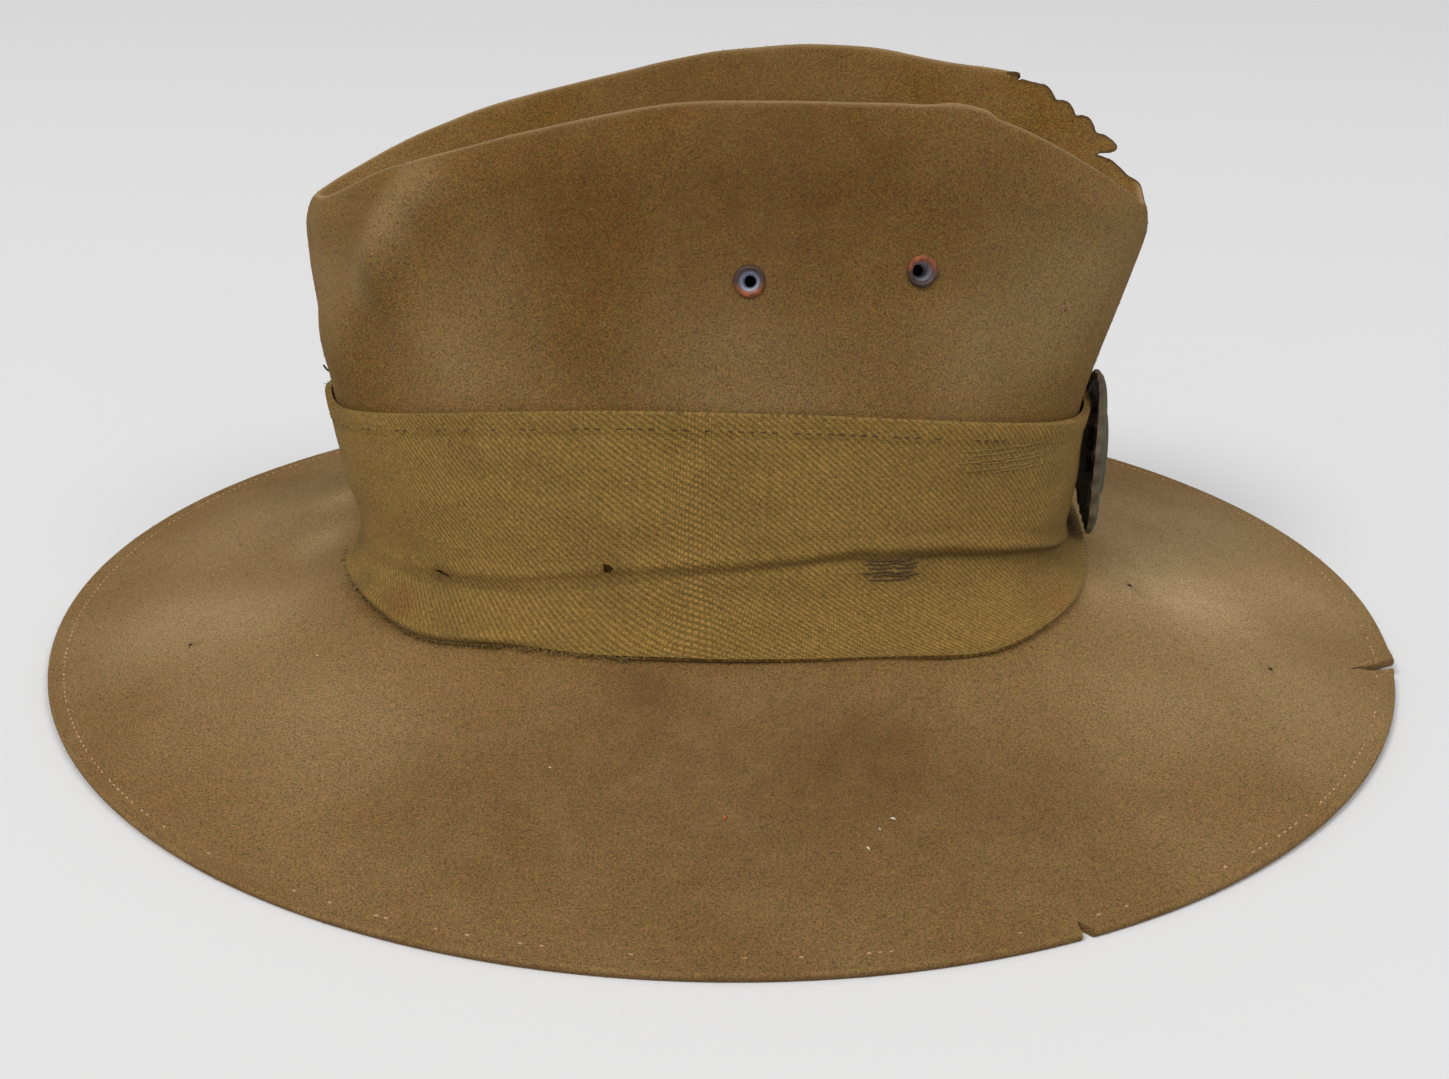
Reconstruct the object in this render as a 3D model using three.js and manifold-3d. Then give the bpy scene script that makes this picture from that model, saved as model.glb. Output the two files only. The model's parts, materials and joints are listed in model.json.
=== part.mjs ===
// A fur-felt slouch hat with a cloth band, two pairs of vent eyelets and a badge at the front.
// Millimetres, +Z up, +X to the front of the hat, origin on the floor under its middle.

import * as THREE from "three";
import { mergeVertices } from "three/addons/utils/BufferGeometryUtils.js";
import Module from "manifold-3d";

const wasm = await Module();
wasm.setup();

// Felt: brim and crown
const brimLength = 362;
const brimBreadth = 311;
const crownLength = 200;
const crownBreadth = 142;
const crownOffset = 3;
const crestHeight = 148.6;
const footHeight = 22.5;
const ridgeSpacing = 70;
const creaseDepth = 31;
const feltThickness = 2.2;
const brimLiftHeight = 1.6;
const brimWaveHeight = 5;
const dentDepth = 6;

// Cloth band
const bandHeight = 62;
const bandThickness = 1.8;
const bandEdgeWaveHeight = 2.4;

// Vent eyelets
const eyeletDiameter = 7.4;
const eyeletHoleDiameter = 4.4;
const eyeletWallThickness = 0.6;
const eyeletRimThickness = 0.8;
const eyeletSpacing = 39;
const eyeletForwardDistance = 31;
const eyeletHeight = 112.3;
const eyeletDropHeight = 1.6;

// Badge, its lugs and its pin
const badgeHeight = 43;
const badgeWidth = 37;
const badgeThickness = 1.5;
const badgeDomeHeight = 3.2;
const badgeCentreHeight = 51.5;
const lugSpacing = 17;
const lugWidth = 5;
const lugThickness = 1.6;
const pinDiameter = 1.8;
const pinOverhangLength = 4;

// Damage: the eaten ridge, the slit and the nick
const tearLength = 36;
const tearDepth = 13;
const tearSlope = THREE.MathUtils.degToRad(13);
const slitLength = 14;
const slitWidth = 2.6;
const nickLength = 4;
const nickWidth = 3;

// Pieces that meet keep this gap
const clearance = 0.3;
const seatAllowance = 0.15;

// Mesh steps
const columns = 64;
const roundSides = 12;

// Brim rows from the edge inwards. reach is the share of the way from edge to foot, rise the share of
// footHeight, lift the share of brimLiftHeight at the front and rear, steps the mesh steps to the next row.
const BRIM_ROWS = [
  { name: "edge", reach: 0.0, rise: 0.0, lift: 1.0, steps: 1 },
  { name: "rim", reach: 0.06, rise: 0.0, lift: 1.0, steps: 2 },
  { name: "middle", reach: 0.42, rise: 0.29, lift: 0.6, steps: 2 },
  { name: "inner", reach: 0.8, rise: 0.68, lift: 0.2, steps: 1 },
];

// Rows under the band. front, rear and side are shares of half crownLength and half crownBreadth;
// the three heights are shares of bandHeight above the foot at side, front and rear. square is how
// square the row's plan is: 2 is an ellipse.
const BAND_ROWS = [
  {
    name: "foot", front: 1.0, rear: 0.985, side: 1.0,
    atSide: 0, atFront: 0.05, atRear: 0.0, square: 2.9, steps: 1,
  },
  {
    name: "kick", front: 0.95, rear: 0.955, side: 0.95,
    atSide: 0.09, atFront: 0.11, atRear: 0.1, square: 2.8, steps: 1,
  },
  {
    name: "waist", front: 0.908, rear: 0.94, side: 0.9,
    atSide: 0.26, atFront: 0.19, atRear: 0.18, square: 2.6, steps: 2,
  },
  {
    name: "swell", front: 0.93, rear: 0.99, side: 0.855,
    atSide: 0.6, atFront: 0.46, atRear: 0.45, square: 2.4, steps: 2,
  },
  {
    name: "band_top", front: 0.96, rear: 1.02, side: 0.8,
    atSide: 1, atFront: 0.76, atRear: 0.73, square: 2.3, steps: 2,
  },
];

// Rows of the wall over the band. The heights are shares of the way from the band's top to the crest.
const WALL_ROWS = [
  {
    name: "wall_middle", front: 0.995, rear: 1.05, side: 0.75,
    atSide: 0.26, atFront: -0.03, atRear: -0.03, steps: 2,
  },
  {
    name: "wall_top", front: 1.045, rear: 1.065, side: 0.66,
    atSide: 0.62, atFront: 0.26, atRear: 0.26, steps: 2,
  },
];

// Rows over the ridge and down the crease. side is a share of half ridgeSpacing, the heights as above.
const RIDGE_ROWS = [
  {
    name: "shoulder", front: 1.072, rear: 1.06, side: 1.19,
    atSide: 0.89, atFront: 0.46, atRear: 0.42, steps: 2,
  },
  {
    name: "crest", front: 1.055, rear: 1.03, side: 0.97,
    atSide: 1.0, atFront: 0.54, atRear: 0.5, steps: 2,
  },
];

// Rows inside the crease, with the drop below the crest as a share of creaseDepth.
const CREASE_ROWS = [
  { name: "lip", front: 0.99, rear: 0.965, side: 0.68, atSide: 0.27, atFront: 0.06, atRear: 0.08, steps: 2 },
  { name: "slope", front: 0.93, rear: 0.9, side: 0.36, atSide: 0.74, atFront: 0.24, atRear: 0.3, steps: 1 },
  { name: "valley", front: 0.87, rear: 0.85, side: 0, atSide: 1.0, atFront: 0.42, atRear: 0.5, steps: 0 },
];

// How late a row's height falls off towards the front and the rear, as a power of the cosine.
const FALL = {
  band: { front: 2.4, rear: 2.0 },
  top: { front: 4.2, rear: 1.6 },
};
const TOP_SQUARE = 2.3;

// Dents and swellings of the crown. side is -1 on the wearer's right, 1 on the left. x and z are
// shares of half crownLength and of crestHeight, along and across the spreads as shares of half
// crownLength, turn in degrees from the long axis, out and up the push as shares of dentDepth.
const DENTS = [
  { name: "rear_fold", side: -1, x: -0.82, z: 0.74, along: 0.26, across: 0.07, turn: 58, out: 0.55, up: 0 },
  { name: "rear_hollow", side: -1, x: -0.97, z: 0.72, along: 0.22, across: 0.1, turn: 62, out: -0.9, up: 0 },
  { name: "rear_slope", side: -1, x: -0.6, z: 0.7, along: 0.26, across: 0.18, turn: 55, out: -0.3, up: 0 },
  { name: "side_swell", side: -1, x: 0.15, z: 0.72, along: 0.5, across: 0.16, turn: 0, out: 0.2, up: 0 },
  { name: "front_hollow", side: -1, x: 0.8, z: 0.68, along: 0.2, across: 0.14, turn: 100, out: -0.4, up: 0 },
  { name: "right_front", side: -1, x: 0.86, z: 0.92, along: 0.22, across: 0.2, turn: -30, out: 0, up: -0.6 },
  { name: "right_rear", side: -1, x: -0.4, z: 0.95, along: 0.34, across: 0.2, turn: 0, out: 0, up: -0.4 },
  { name: "left_front", side: 1, x: 0.88, z: 0.9, along: 0.22, across: 0.2, turn: -35, out: 0.5, up: 0.35 },
  { name: "left_dip", side: 1, x: 0.58, z: 0.97, along: 0.16, across: 0.2, turn: -10, out: 0, up: -0.3 },
  { name: "left_ridge", side: 1, x: 0.22, z: 0.98, along: 0.42, across: 0.22, turn: 0, out: 0, up: 0.15 },
  { name: "left_rear", side: 1, x: -0.38, z: 0.95, along: 0.4, across: 0.22, turn: 8, out: 0, up: -0.65 },
  { name: "left_side", side: 1, x: -0.1, z: 0.66, along: 0.4, across: 0.2, turn: 15, out: -0.5, up: 0 },
];

// A dent fades out over this share of half crownBreadth towards the middle of the crown.
const DENT_BLEND = 0.13;

// Soft radial waves of the brim. angle and spread are in degrees round the hat from the front,
// reach the share of the way from edge to foot, lift a share of brimWaveHeight.
const WAVES = [
  { name: "rear_left", angle: 165, spread: 9, reach: 0.62, lift: 0.45 },
  { name: "rear", angle: -176, spread: 8, reach: 0.75, lift: -0.35 },
  { name: "rear_right", angle: -158, spread: 10, reach: 0.72, lift: 0.35 },
  { name: "right_rear", angle: -112, spread: 11, reach: 0.68, lift: -0.3 },
  { name: "right", angle: -84, spread: 10, reach: 0.6, lift: 0.3 },
  { name: "right_front", angle: -52, spread: 11, reach: 0.6, lift: -0.35 },
  { name: "front", angle: -12, spread: 12, reach: 0.6, lift: 0.5 },
  { name: "front_left", angle: 28, spread: 12, reach: 0.6, lift: -0.3 },
  { name: "left", angle: 84, spread: 16, reach: 0.6, lift: 0.35 },
  { name: "left_rear", angle: 128, spread: 12, reach: 0.65, lift: -0.3 },
];
const WAVE_REACH = 0.3;
const WAVE_BAND = { rise: [0.12, 0.4], fade: [0.85, 1] };

// Scallops of the eaten edge: at is the share of tearLength from its rear end, deep of tearDepth.
const SCALLOPS = [
  { at: -0.03, deep: -0.8 },
  { at: -0.03, deep: 0.09 },
  { at: 0.07, deep: 0.14 },
  { at: 0.14, deep: 0.29 },
  { at: 0.34, deep: 0.41 },
  { at: 0.41, deep: 0.65 },
  { at: 0.5, deep: 0.7 },
  { at: 0.56, deep: 0.94 },
  { at: 0.66, deep: 1.03 },
  { at: 0.71, deep: 1.27 },
  { at: 0.84, deep: 1.45 },
  { at: 0.87, deep: 1.54 },
  { at: 0.84, deep: 1.62 },
  { at: 0.72, deep: 1.7 },
  { at: 0.85, deep: 1.87 },
  { at: 0.97, deep: 2.1 },
  { at: 1.08, deep: 2.41 },
  { at: 1.3, deep: 2.8 },
];

// Where the eaten edge lies: side is the share of ridgeSpacing from the crown's middle to the cut's own
// plane, behind and ahead how far the cut runs from it, below the share of tearDepth under the crest.
const TEAR = { side: 0.31, behind: 0.75, ahead: 0.16, below: 0.1 };

// Rows in millimetres

const halfLength = crownLength / 2;
const halfBreadth = crownBreadth / 2;
const bandTop = footHeight + bandHeight;
const wallRise = crestHeight - bandTop;

function crownRow(row, sideHalf, base, rise, fall) {
  return {
    name: row.name,
    steps: row.steps,
    front: row.front * halfLength,
    rear: row.rear * halfLength,
    side: row.side * sideHalf,
    sideHeight: base + row.atSide * rise,
    frontHeight: base + row.atFront * rise,
    rearHeight: base + row.atRear * rise,
    square: row.square ?? TOP_SQUARE,
    fall,
  };
}

const bandRows = BAND_ROWS.map((row) => crownRow(row, halfBreadth, footHeight, bandHeight, FALL.band));
const wallRows = WALL_ROWS.map((row) => crownRow(row, halfBreadth, bandTop, wallRise, FALL.top));
const ridgeRows = RIDGE_ROWS.map((row) => crownRow(row, ridgeSpacing / 2, bandTop, wallRise, FALL.top));
const crest = ridgeRows.at(-1);
const creaseRows = CREASE_ROWS.map((row) => ({
  name: row.name,
  steps: row.steps,
  front: row.front * halfLength,
  rear: row.rear * halfLength,
  side: (row.side * ridgeSpacing) / 2,
  sideHeight: crest.sideHeight - row.atSide * creaseDepth,
  frontHeight: crest.frontHeight - row.atFront * creaseDepth,
  rearHeight: crest.rearHeight - row.atRear * creaseDepth,
  square: TOP_SQUARE,
  fall: FALL.top,
}));
const foot = bandRows[0];
const brimRows = BRIM_ROWS.map((row) => ({
  name: row.name,
  steps: row.steps,
  reach: row.reach,
  front: THREE.MathUtils.lerp(brimLength / 2, foot.front, row.reach),
  rear: THREE.MathUtils.lerp(brimLength / 2, foot.rear, row.reach),
  side: THREE.MathUtils.lerp(brimBreadth / 2, foot.side, row.reach),
  square: THREE.MathUtils.lerp(2, foot.square, row.reach),
  height: feltThickness + row.rise * (footHeight - feltThickness),
  lift: row.lift * brimLiftHeight,
}));
const rows = [...brimRows, ...bandRows, ...wallRows, ...ridgeRows, ...creaseRows];
const rowIndex = (name) => rows.findIndex((row) => row.name === name);

// The outer skin of the felt

const { smoothstep } = THREE.MathUtils;
const bell = (share) => Math.exp(-share * share);
const degreesApart = (a, b) => THREE.MathUtils.euclideanModulo(a - b + 180, 360) - 180;

// The brim lies flat on both sides up to this cosine, and lifts beyond it to the front and rear.
const REST_COSINE = 0.4;

function endShare(cosine) {
  const past = Math.max(0, Math.abs(cosine) - REST_COSINE) / (1 - REST_COSINE);
  return past * past;
}

function waveLift(angle, reach) {
  let lift = 0;
  for (const wave of WAVES) {
    const round = bell(degreesApart(THREE.MathUtils.radToDeg(angle), wave.angle) / wave.spread);
    lift += wave.lift * brimWaveHeight * round * bell((reach - wave.reach) / WAVE_REACH);
  }
  const { rise, fade } = WAVE_BAND;
  return lift * smoothstep(reach, ...rise) * (1 - smoothstep(reach, ...fade));
}

function dentPush(point, outward) {
  for (const dent of DENTS) {
    const share = smoothstep((point.y - crownOffset) * dent.side, 0, DENT_BLEND * halfBreadth);
    const dx = point.x - dent.x * halfLength;
    const dz = point.z - dent.z * crestHeight;
    const turn = THREE.MathUtils.degToRad(dent.turn);
    const along = (dx * Math.cos(turn) + dz * Math.sin(turn)) / (dent.along * halfLength);
    const across = (dz * Math.cos(turn) - dx * Math.sin(turn)) / (dent.across * halfLength);
    const push = share * bell(along) * bell(across) * dentDepth;
    point.addScaledVector(outward, dent.out * push);
    point.z += dent.up * push;
  }
}

function rowPoint(row, angle) {
  const c = Math.cos(angle);
  const s = Math.sin(angle);
  const power = 2 / row.square;
  const x = Math.sign(c) * Math.abs(c) ** power * (c > 0 ? row.front : row.rear);
  const y = Math.sign(s) * Math.abs(s) ** power * row.side + crownOffset * (row.reach ?? 1);
  if (row.reach !== undefined) {
    return new THREE.Vector3(x, y, row.height + row.lift * endShare(c) + waveLift(angle, row.reach));
  }
  const end = c > 0 ? row.frontHeight : row.rearHeight;
  const fall = Math.abs(c) ** (c > 0 ? row.fall.front : row.fall.rear);
  const point = new THREE.Vector3(x, y, THREE.MathUtils.lerp(row.sideHeight, end, fall));
  const span = new THREE.Vector2(c / halfLength, s / halfBreadth).normalize();
  dentPush(point, new THREE.Vector3(span.x, span.y, 0));
  return point;
}

// A section of the felt from the brim edge to the valley, at one angle round the hat.
function section(angle) {
  return new THREE.CatmullRomCurve3(rows.map((row) => rowPoint(row, angle)));
}

// The point at a row position, where 1.5 is halfway from the second row to the third.
const along = (curve, position) => curve.getPoint(position / (rows.length - 1));

const positions = [];
rows.forEach((row, index) => {
  for (let step = 0; step < row.steps; step += 1) positions.push(index + step / row.steps);
});
positions.push(rows.length - 1);
const positionIndex = (name) => positions.indexOf(rowIndex(name));

// The grid of the outer skin: one vertex for each column and position. The valley is a seam, where
// the two sides of the hat share their vertices.
const lastPosition = positions.length - 1;
const curves = Array.from({ length: columns }, (_, k) => section((2 * Math.PI * k) / columns));
const skinPoints = [];
const skinId = (column, position) => {
  const k = (column + columns) % columns;
  if (position < lastPosition) return position * columns + k;
  return lastPosition * columns + Math.min(k, columns - k);
};
for (let position = 0; position <= lastPosition; position += 1) {
  for (let k = 0; k < (position < lastPosition ? columns : columns / 2 + 1); k += 1) {
    skinPoints.push(along(curves[k], positions[position]));
  }
}
const skinFaces = [];
for (let position = 0; position < lastPosition; position += 1) {
  for (let k = 0; k < columns; k += 1) {
    const corner = skinId(k, position);
    const next = skinId(k + 1, position);
    const above = skinId(k, position + 1);
    const nextAbove = skinId(k + 1, position + 1);
    skinFaces.push([corner, next, nextAbove], [corner, nextAbove, above]);
  }
}

function indexedGeometry(points, faces) {
  const geometry = new THREE.BufferGeometry().setFromPoints(points);
  geometry.setIndex(faces.flat());
  geometry.computeVertexNormals();
  return geometry;
}

const skinNormals = indexedGeometry(skinPoints, skinFaces).getAttribute("normal");
const skinNormal = (id) => new THREE.Vector3().fromBufferAttribute(skinNormals, id);

// Solids and cuts

function solidOf(geometry) {
  const bare = geometry.index ? geometry.toNonIndexed() : geometry.clone();
  bare.deleteAttribute("normal");
  bare.deleteAttribute("uv");
  const merged = mergeVertices(bare, 1e-4);
  return new wasm.Manifold(
    new wasm.Mesh({
      numProp: 3,
      vertProperties: new Float32Array(merged.getAttribute("position").array),
      triVerts: new Uint32Array(merged.index.array),
    }),
  );
}

function geometryOf(solid) {
  const mesh = solid.getMesh();
  const geometry = new THREE.BufferGeometry();
  geometry.setAttribute("position", new THREE.BufferAttribute(new Float32Array(mesh.vertProperties), 3));
  geometry.setIndex(new THREE.BufferAttribute(new Uint32Array(mesh.triVerts), 1));
  geometry.computeVertexNormals();
  return geometry;
}

// A prism of a flat outline, from one depth to another along the third of the axes given.
function prism(outline, axes, origin, from, to) {
  const shape = new THREE.Shape(outline);
  const geometry = new THREE.ExtrudeGeometry(shape, { depth: to - from, bevelEnabled: false });
  geometry.translate(0, 0, from);
  const [across, up, ahead] = axes;
  geometry.applyMatrix4(new THREE.Matrix4().makeBasis(across, up, ahead).setPosition(origin));
  return solidOf(geometry);
}

const AXES = {
  x: new THREE.Vector3(1, 0, 0),
  y: new THREE.Vector3(0, 1, 0),
  z: new THREE.Vector3(0, 0, 1),
};

const rectangle = (width, height) => [
  new THREE.Vector2(-width / 2, -height / 2),
  new THREE.Vector2(width / 2, -height / 2),
  new THREE.Vector2(width / 2, height / 2),
  new THREE.Vector2(-width / 2, height / 2),
];

// The felt body: the outer skin, an inner skin one thickness inside it, and the brim's cut edge.
function feltShell() {
  const inner = skinPoints.map((point, id) => point.clone().addScaledVector(skinNormal(id), -feltThickness));
  for (let k = 0; k < columns; k += 1) {
    for (const position of [0, 1]) {
      const id = skinId(k, position);
      inner[id].copy(skinPoints[id]);
      inner[id].z -= feltThickness;
    }
  }
  const shift = skinPoints.length;
  const faces = [...skinFaces, ...skinFaces.map(([a, b, c]) => [a + shift, c + shift, b + shift])];
  for (let k = 0; k < columns; k += 1) {
    const here = skinId(k, 0);
    const next = skinId(k + 1, 0);
    faces.push([here + shift, next + shift, next], [here + shift, next, here]);
  }
  return solidOf(indexedGeometry([...skinPoints, ...inner], faces));
}

// The middle of a range, narrowed by halving it until the test is right on both sides.
const HALVINGS = 30;

function halve(low, high, isBeyond) {
  let [first, last] = [low, high];
  for (let round = 0; round < HALVINGS; round += 1) {
    const middle = (first + last) / 2;
    if (isBeyond(middle)) last = middle;
    else first = middle;
  }
  return (first + last) / 2;
}

// The place on the wall at an x and a height, on one side, as an angle and a row position.
function placeOnWall(x, height, side) {
  const isBehind = (angle, position) => along(section(side * angle), position).x < x;
  const angleAt = (position) => side * halve(0, Math.PI, (angle) => isBehind(angle, position));
  const isAbove = (position) => along(section(angleAt(position)), position).z > height;
  const position = halve(rowIndex("band_top"), rowIndex("shoulder"), isAbove);
  return { angle: angleAt(position), position };
}

function wallFrame({ angle, position }) {
  const step = 0.02; // radians round the hat, and rows up the wall
  const point = along(section(angle), position);
  const round = along(section(angle + step), position).sub(along(section(angle - step), position));
  const upward = along(section(angle), position + step).sub(along(section(angle), position - step));
  const outward = round.cross(upward).normalize();
  return { point, outward };
}

// Eyelets: a spool of sheet iron, rolled over both faces of the felt.
const eyeletSeat = clearance + seatAllowance;
const barrelRadius = eyeletHoleDiameter / 2 + eyeletWallThickness;

function eyeletGeometry() {
  const outer = eyeletDiameter / 2;
  const hole = eyeletHoleDiameter / 2;
  const top = eyeletSeat;
  const bottom = -feltThickness - eyeletSeat;
  const rolled = eyeletRimThickness / 2;
  const profile = [
    [hole, bottom - rolled],
    [outer - eyeletRimThickness, bottom - eyeletRimThickness],
    [outer, bottom],
    [barrelRadius, bottom],
    [barrelRadius, top],
    [outer, top],
    [outer - rolled, top + eyeletRimThickness],
    [hole + eyeletRimThickness, top + eyeletRimThickness],
    [hole, top + rolled],
    [hole, bottom - rolled],
  ];
  const points = profile.map(([radius, height]) => new THREE.Vector2(radius, height));
  return new THREE.LatheGeometry(points, roundSides);
}

function eyeletPlacement(side, end) {
  const x = eyeletForwardDistance - (end * eyeletSpacing) / 2;
  const frame = wallFrame(placeOnWall(x, eyeletHeight - (end * eyeletDropHeight) / 2, side));
  const turn = new THREE.Quaternion().setFromUnitVectors(AXES.y, frame.outward);
  return { ...frame, turn };
}

const eyelets = [
  { name: "eyelet_right_rear", side: -1, end: 1 },
  { name: "eyelet_right_front", side: -1, end: -1 },
  { name: "eyelet_left_rear", side: 1, end: 1 },
  { name: "eyelet_left_front", side: 1, end: -1 },
].map((eyelet) => ({ ...eyelet, ...eyeletPlacement(eyelet.side, eyelet.end) }));

function eyeletHoleCut({ point, turn }) {
  const depth = 4 * feltThickness;
  const radius = barrelRadius + clearance;
  const cut = new THREE.CylinderGeometry(radius, radius, depth, roundSides);
  cut.applyQuaternion(turn).translate(point.x, point.y, point.z);
  return solidOf(cut);
}

// The eaten ridge: a prism seen end on from a raised view, so that its lower outline is the edge.
function tearCut() {
  const back = new THREE.Vector3(0, Math.cos(tearSlope), -Math.sin(tearSlope));
  const up = new THREE.Vector3(0, Math.sin(tearSlope), Math.cos(tearSlope));
  const middle = crownOffset + TEAR.side * ridgeSpacing;
  const start = new THREE.Vector3(crest.front - tearLength, middle, crestHeight - TEAR.below * tearDepth);
  const outline = SCALLOPS.map(({ at, deep }) => new THREE.Vector2(at * tearLength, -deep * tearDepth));
  const top = -SCALLOPS[0].deep * tearDepth;
  outline.push(new THREE.Vector2(outline.at(-1).x, top));
  const [from, to] = [-TEAR.behind * ridgeSpacing, TEAR.ahead * ridgeSpacing];
  return prism(outline, [AXES.x, up, back.negate()], start, from, to);
}

// A wedge let into the brim edge, turned by an angle from the way to the crown.
function brimWedge({ angle, turn, length, width }) {
  const edge = along(section(angle), 0);
  const inward = new THREE.Vector3(-edge.x, -edge.y, 0).normalize().applyAxisAngle(AXES.z, turn);
  const across = new THREE.Vector3().crossVectors(AXES.z, inward);
  const outline = [
    new THREE.Vector2(-length, -width / 2),
    new THREE.Vector2(0, -width / 2),
    new THREE.Vector2(length, 0),
    new THREE.Vector2(0, width / 2),
    new THREE.Vector2(-length, width / 2),
  ];
  return prism(outline, [inward, across, AXES.z], edge, -2 * feltThickness, 2 * feltThickness);
}

const slit = {
  angle: THREE.MathUtils.degToRad(-9),
  turn: THREE.MathUtils.degToRad(25),
  length: slitLength,
  width: slitWidth,
};
const nick = { angle: THREE.MathUtils.degToRad(-61), turn: 0, length: nickLength, width: nickWidth };

// The band, between two rows of the felt, one clearance outside it.
const bandLow = positionIndex("foot");
const bandHigh = positionIndex("band_top");
// The band's two edges start bandEdgeWaveHeight inside those rows and wander back out, by shares of it, at
// angles in degrees round the hat. MOST_SLIDE is the share of a mesh step that an edge may move.
const MOST_SLIDE = 0.8;
const BAND_LOW_WAVES = [
  { angle: -128, spread: 16, share: 1 },
  { angle: -84, spread: 9, share: 0.4 },
  { angle: -48, spread: 16, share: 1 },
  { angle: 100, spread: 30, share: 0.5 },
];
const BAND_HIGH_WAVES = [
  { angle: -172, spread: 9, share: 0.9 },
  { angle: -120, spread: 25, share: -0.3 },
  { angle: -60, spread: 25, share: -0.2 },
  { angle: 60, spread: 30, share: 0.4 },
];

function edgeWave(waves, column) {
  const angle = (360 * column) / columns;
  let total = 0;
  for (const wave of waves) {
    total += wave.share * bandEdgeWaveHeight * bell(degreesApart(angle, wave.angle) / wave.spread);
  }
  return total;
}

function bandPoint(column, position, offset) {
  const here = skinId(column, position);
  const point = skinPoints[here].clone().addScaledVector(skinNormal(here), offset);
  const edge = position === bandLow ? 1 : position === bandHigh ? -1 : 0;
  if (edge === 0) return point;
  const inward = skinId(column, position + edge);
  const toInner = skinPoints[inward].clone().addScaledVector(skinNormal(inward), offset).sub(point);
  const waves = edge === 1 ? BAND_LOW_WAVES : BAND_HIGH_WAVES;
  const slide = bandEdgeWaveHeight - edgeWave(waves, column);
  return point.addScaledVector(toInner, THREE.MathUtils.clamp(slide / toInner.length(), 0, MOST_SLIDE));
}

function bandSolid() {
  const points = [];
  const count = bandHigh - bandLow + 1;
  for (const offset of [clearance, clearance + bandThickness]) {
    for (let position = bandLow; position <= bandHigh; position += 1) {
      for (let k = 0; k < columns; k += 1) points.push(bandPoint(k, position, offset));
    }
  }
  const id = (layer, row, k) => (layer * count + row) * columns + (k % columns);
  const quad = (layer, row, k) => [
    id(layer, row, k),
    id(layer, row, k + 1),
    id(layer, row + 1, k + 1),
    id(layer, row + 1, k),
  ];
  const faces = [];
  for (let k = 0; k < columns; k += 1) {
    for (let row = 0; row < count - 1; row += 1) {
      const [a, b, c, d] = quad(1, row, k);
      const [e, f, g, h] = quad(0, row, k);
      faces.push([a, b, c], [a, c, d], [e, g, f], [e, h, g]);
    }
    for (const [row, turned] of [[0, false], [count - 1, true]]) {
      const inside = id(0, row, k);
      const insideNext = id(0, row, k + 1);
      const outside = id(1, row, k);
      const outsideNext = id(1, row, k + 1);
      if (turned) faces.push([inside, outsideNext, insideNext], [inside, outside, outsideNext]);
      else faces.push([inside, insideNext, outsideNext], [inside, outsideNext, outside]);
    }
  }
  return solidOf(indexedGeometry(points, faces));
}

// The badge: an oval plate of stepped rings with a notched rim, bowed to a shallow dome.
// radius is a share of the half width and half height, rise a share of badgeDomeHeight.
const BADGE_RINGS = [
  { radius: 1.0, rise: 0.0 },
  { radius: 0.91, rise: 0.34 },
  { radius: 0.85, rise: 0.36 },
  { radius: 0.8, rise: 0.22 },
  { radius: 0.56, rise: 0.52 },
  { radius: 0.5, rise: 0.8 },
  { radius: 0.3, rise: 0.96 },
];
const badgeSides = 28;
const NOTCH = 0.04;

// How far forward the front of the crown stands at a height, with an offset out from the felt.
function frontAt(height, offset) {
  const place = (position) => {
    const { point, outward } = wallFrame({ angle: 0, position });
    return point.addScaledVector(outward, offset);
  };
  const isAbove = (position) => place(position).z > height;
  return place(halve(rowIndex("foot"), rowIndex("wall_middle"), isAbove)).x;
}

const bandOutside = clearance + bandThickness;
const badgeSeat = Math.max(
  frontAt(badgeCentreHeight + badgeHeight / 2, 0),
  frontAt(bandRows.at(-1).frontHeight, bandOutside),
  frontAt(badgeCentreHeight - badgeHeight / 2, bandOutside),
);
const badgeBack = badgeSeat + clearance + seatAllowance;
const pinRadius = pinDiameter / 2;
const pinLength = lugSpacing + 2 * pinOverhangLength;
const pinSeat = Math.min(
  frontAt(badgeCentreHeight + pinLength / 2, -feltThickness),
  frontAt(badgeCentreHeight - pinLength / 2, -feltThickness),
);
const pinCentre = pinSeat - seatAllowance - clearance - pinRadius;

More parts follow.
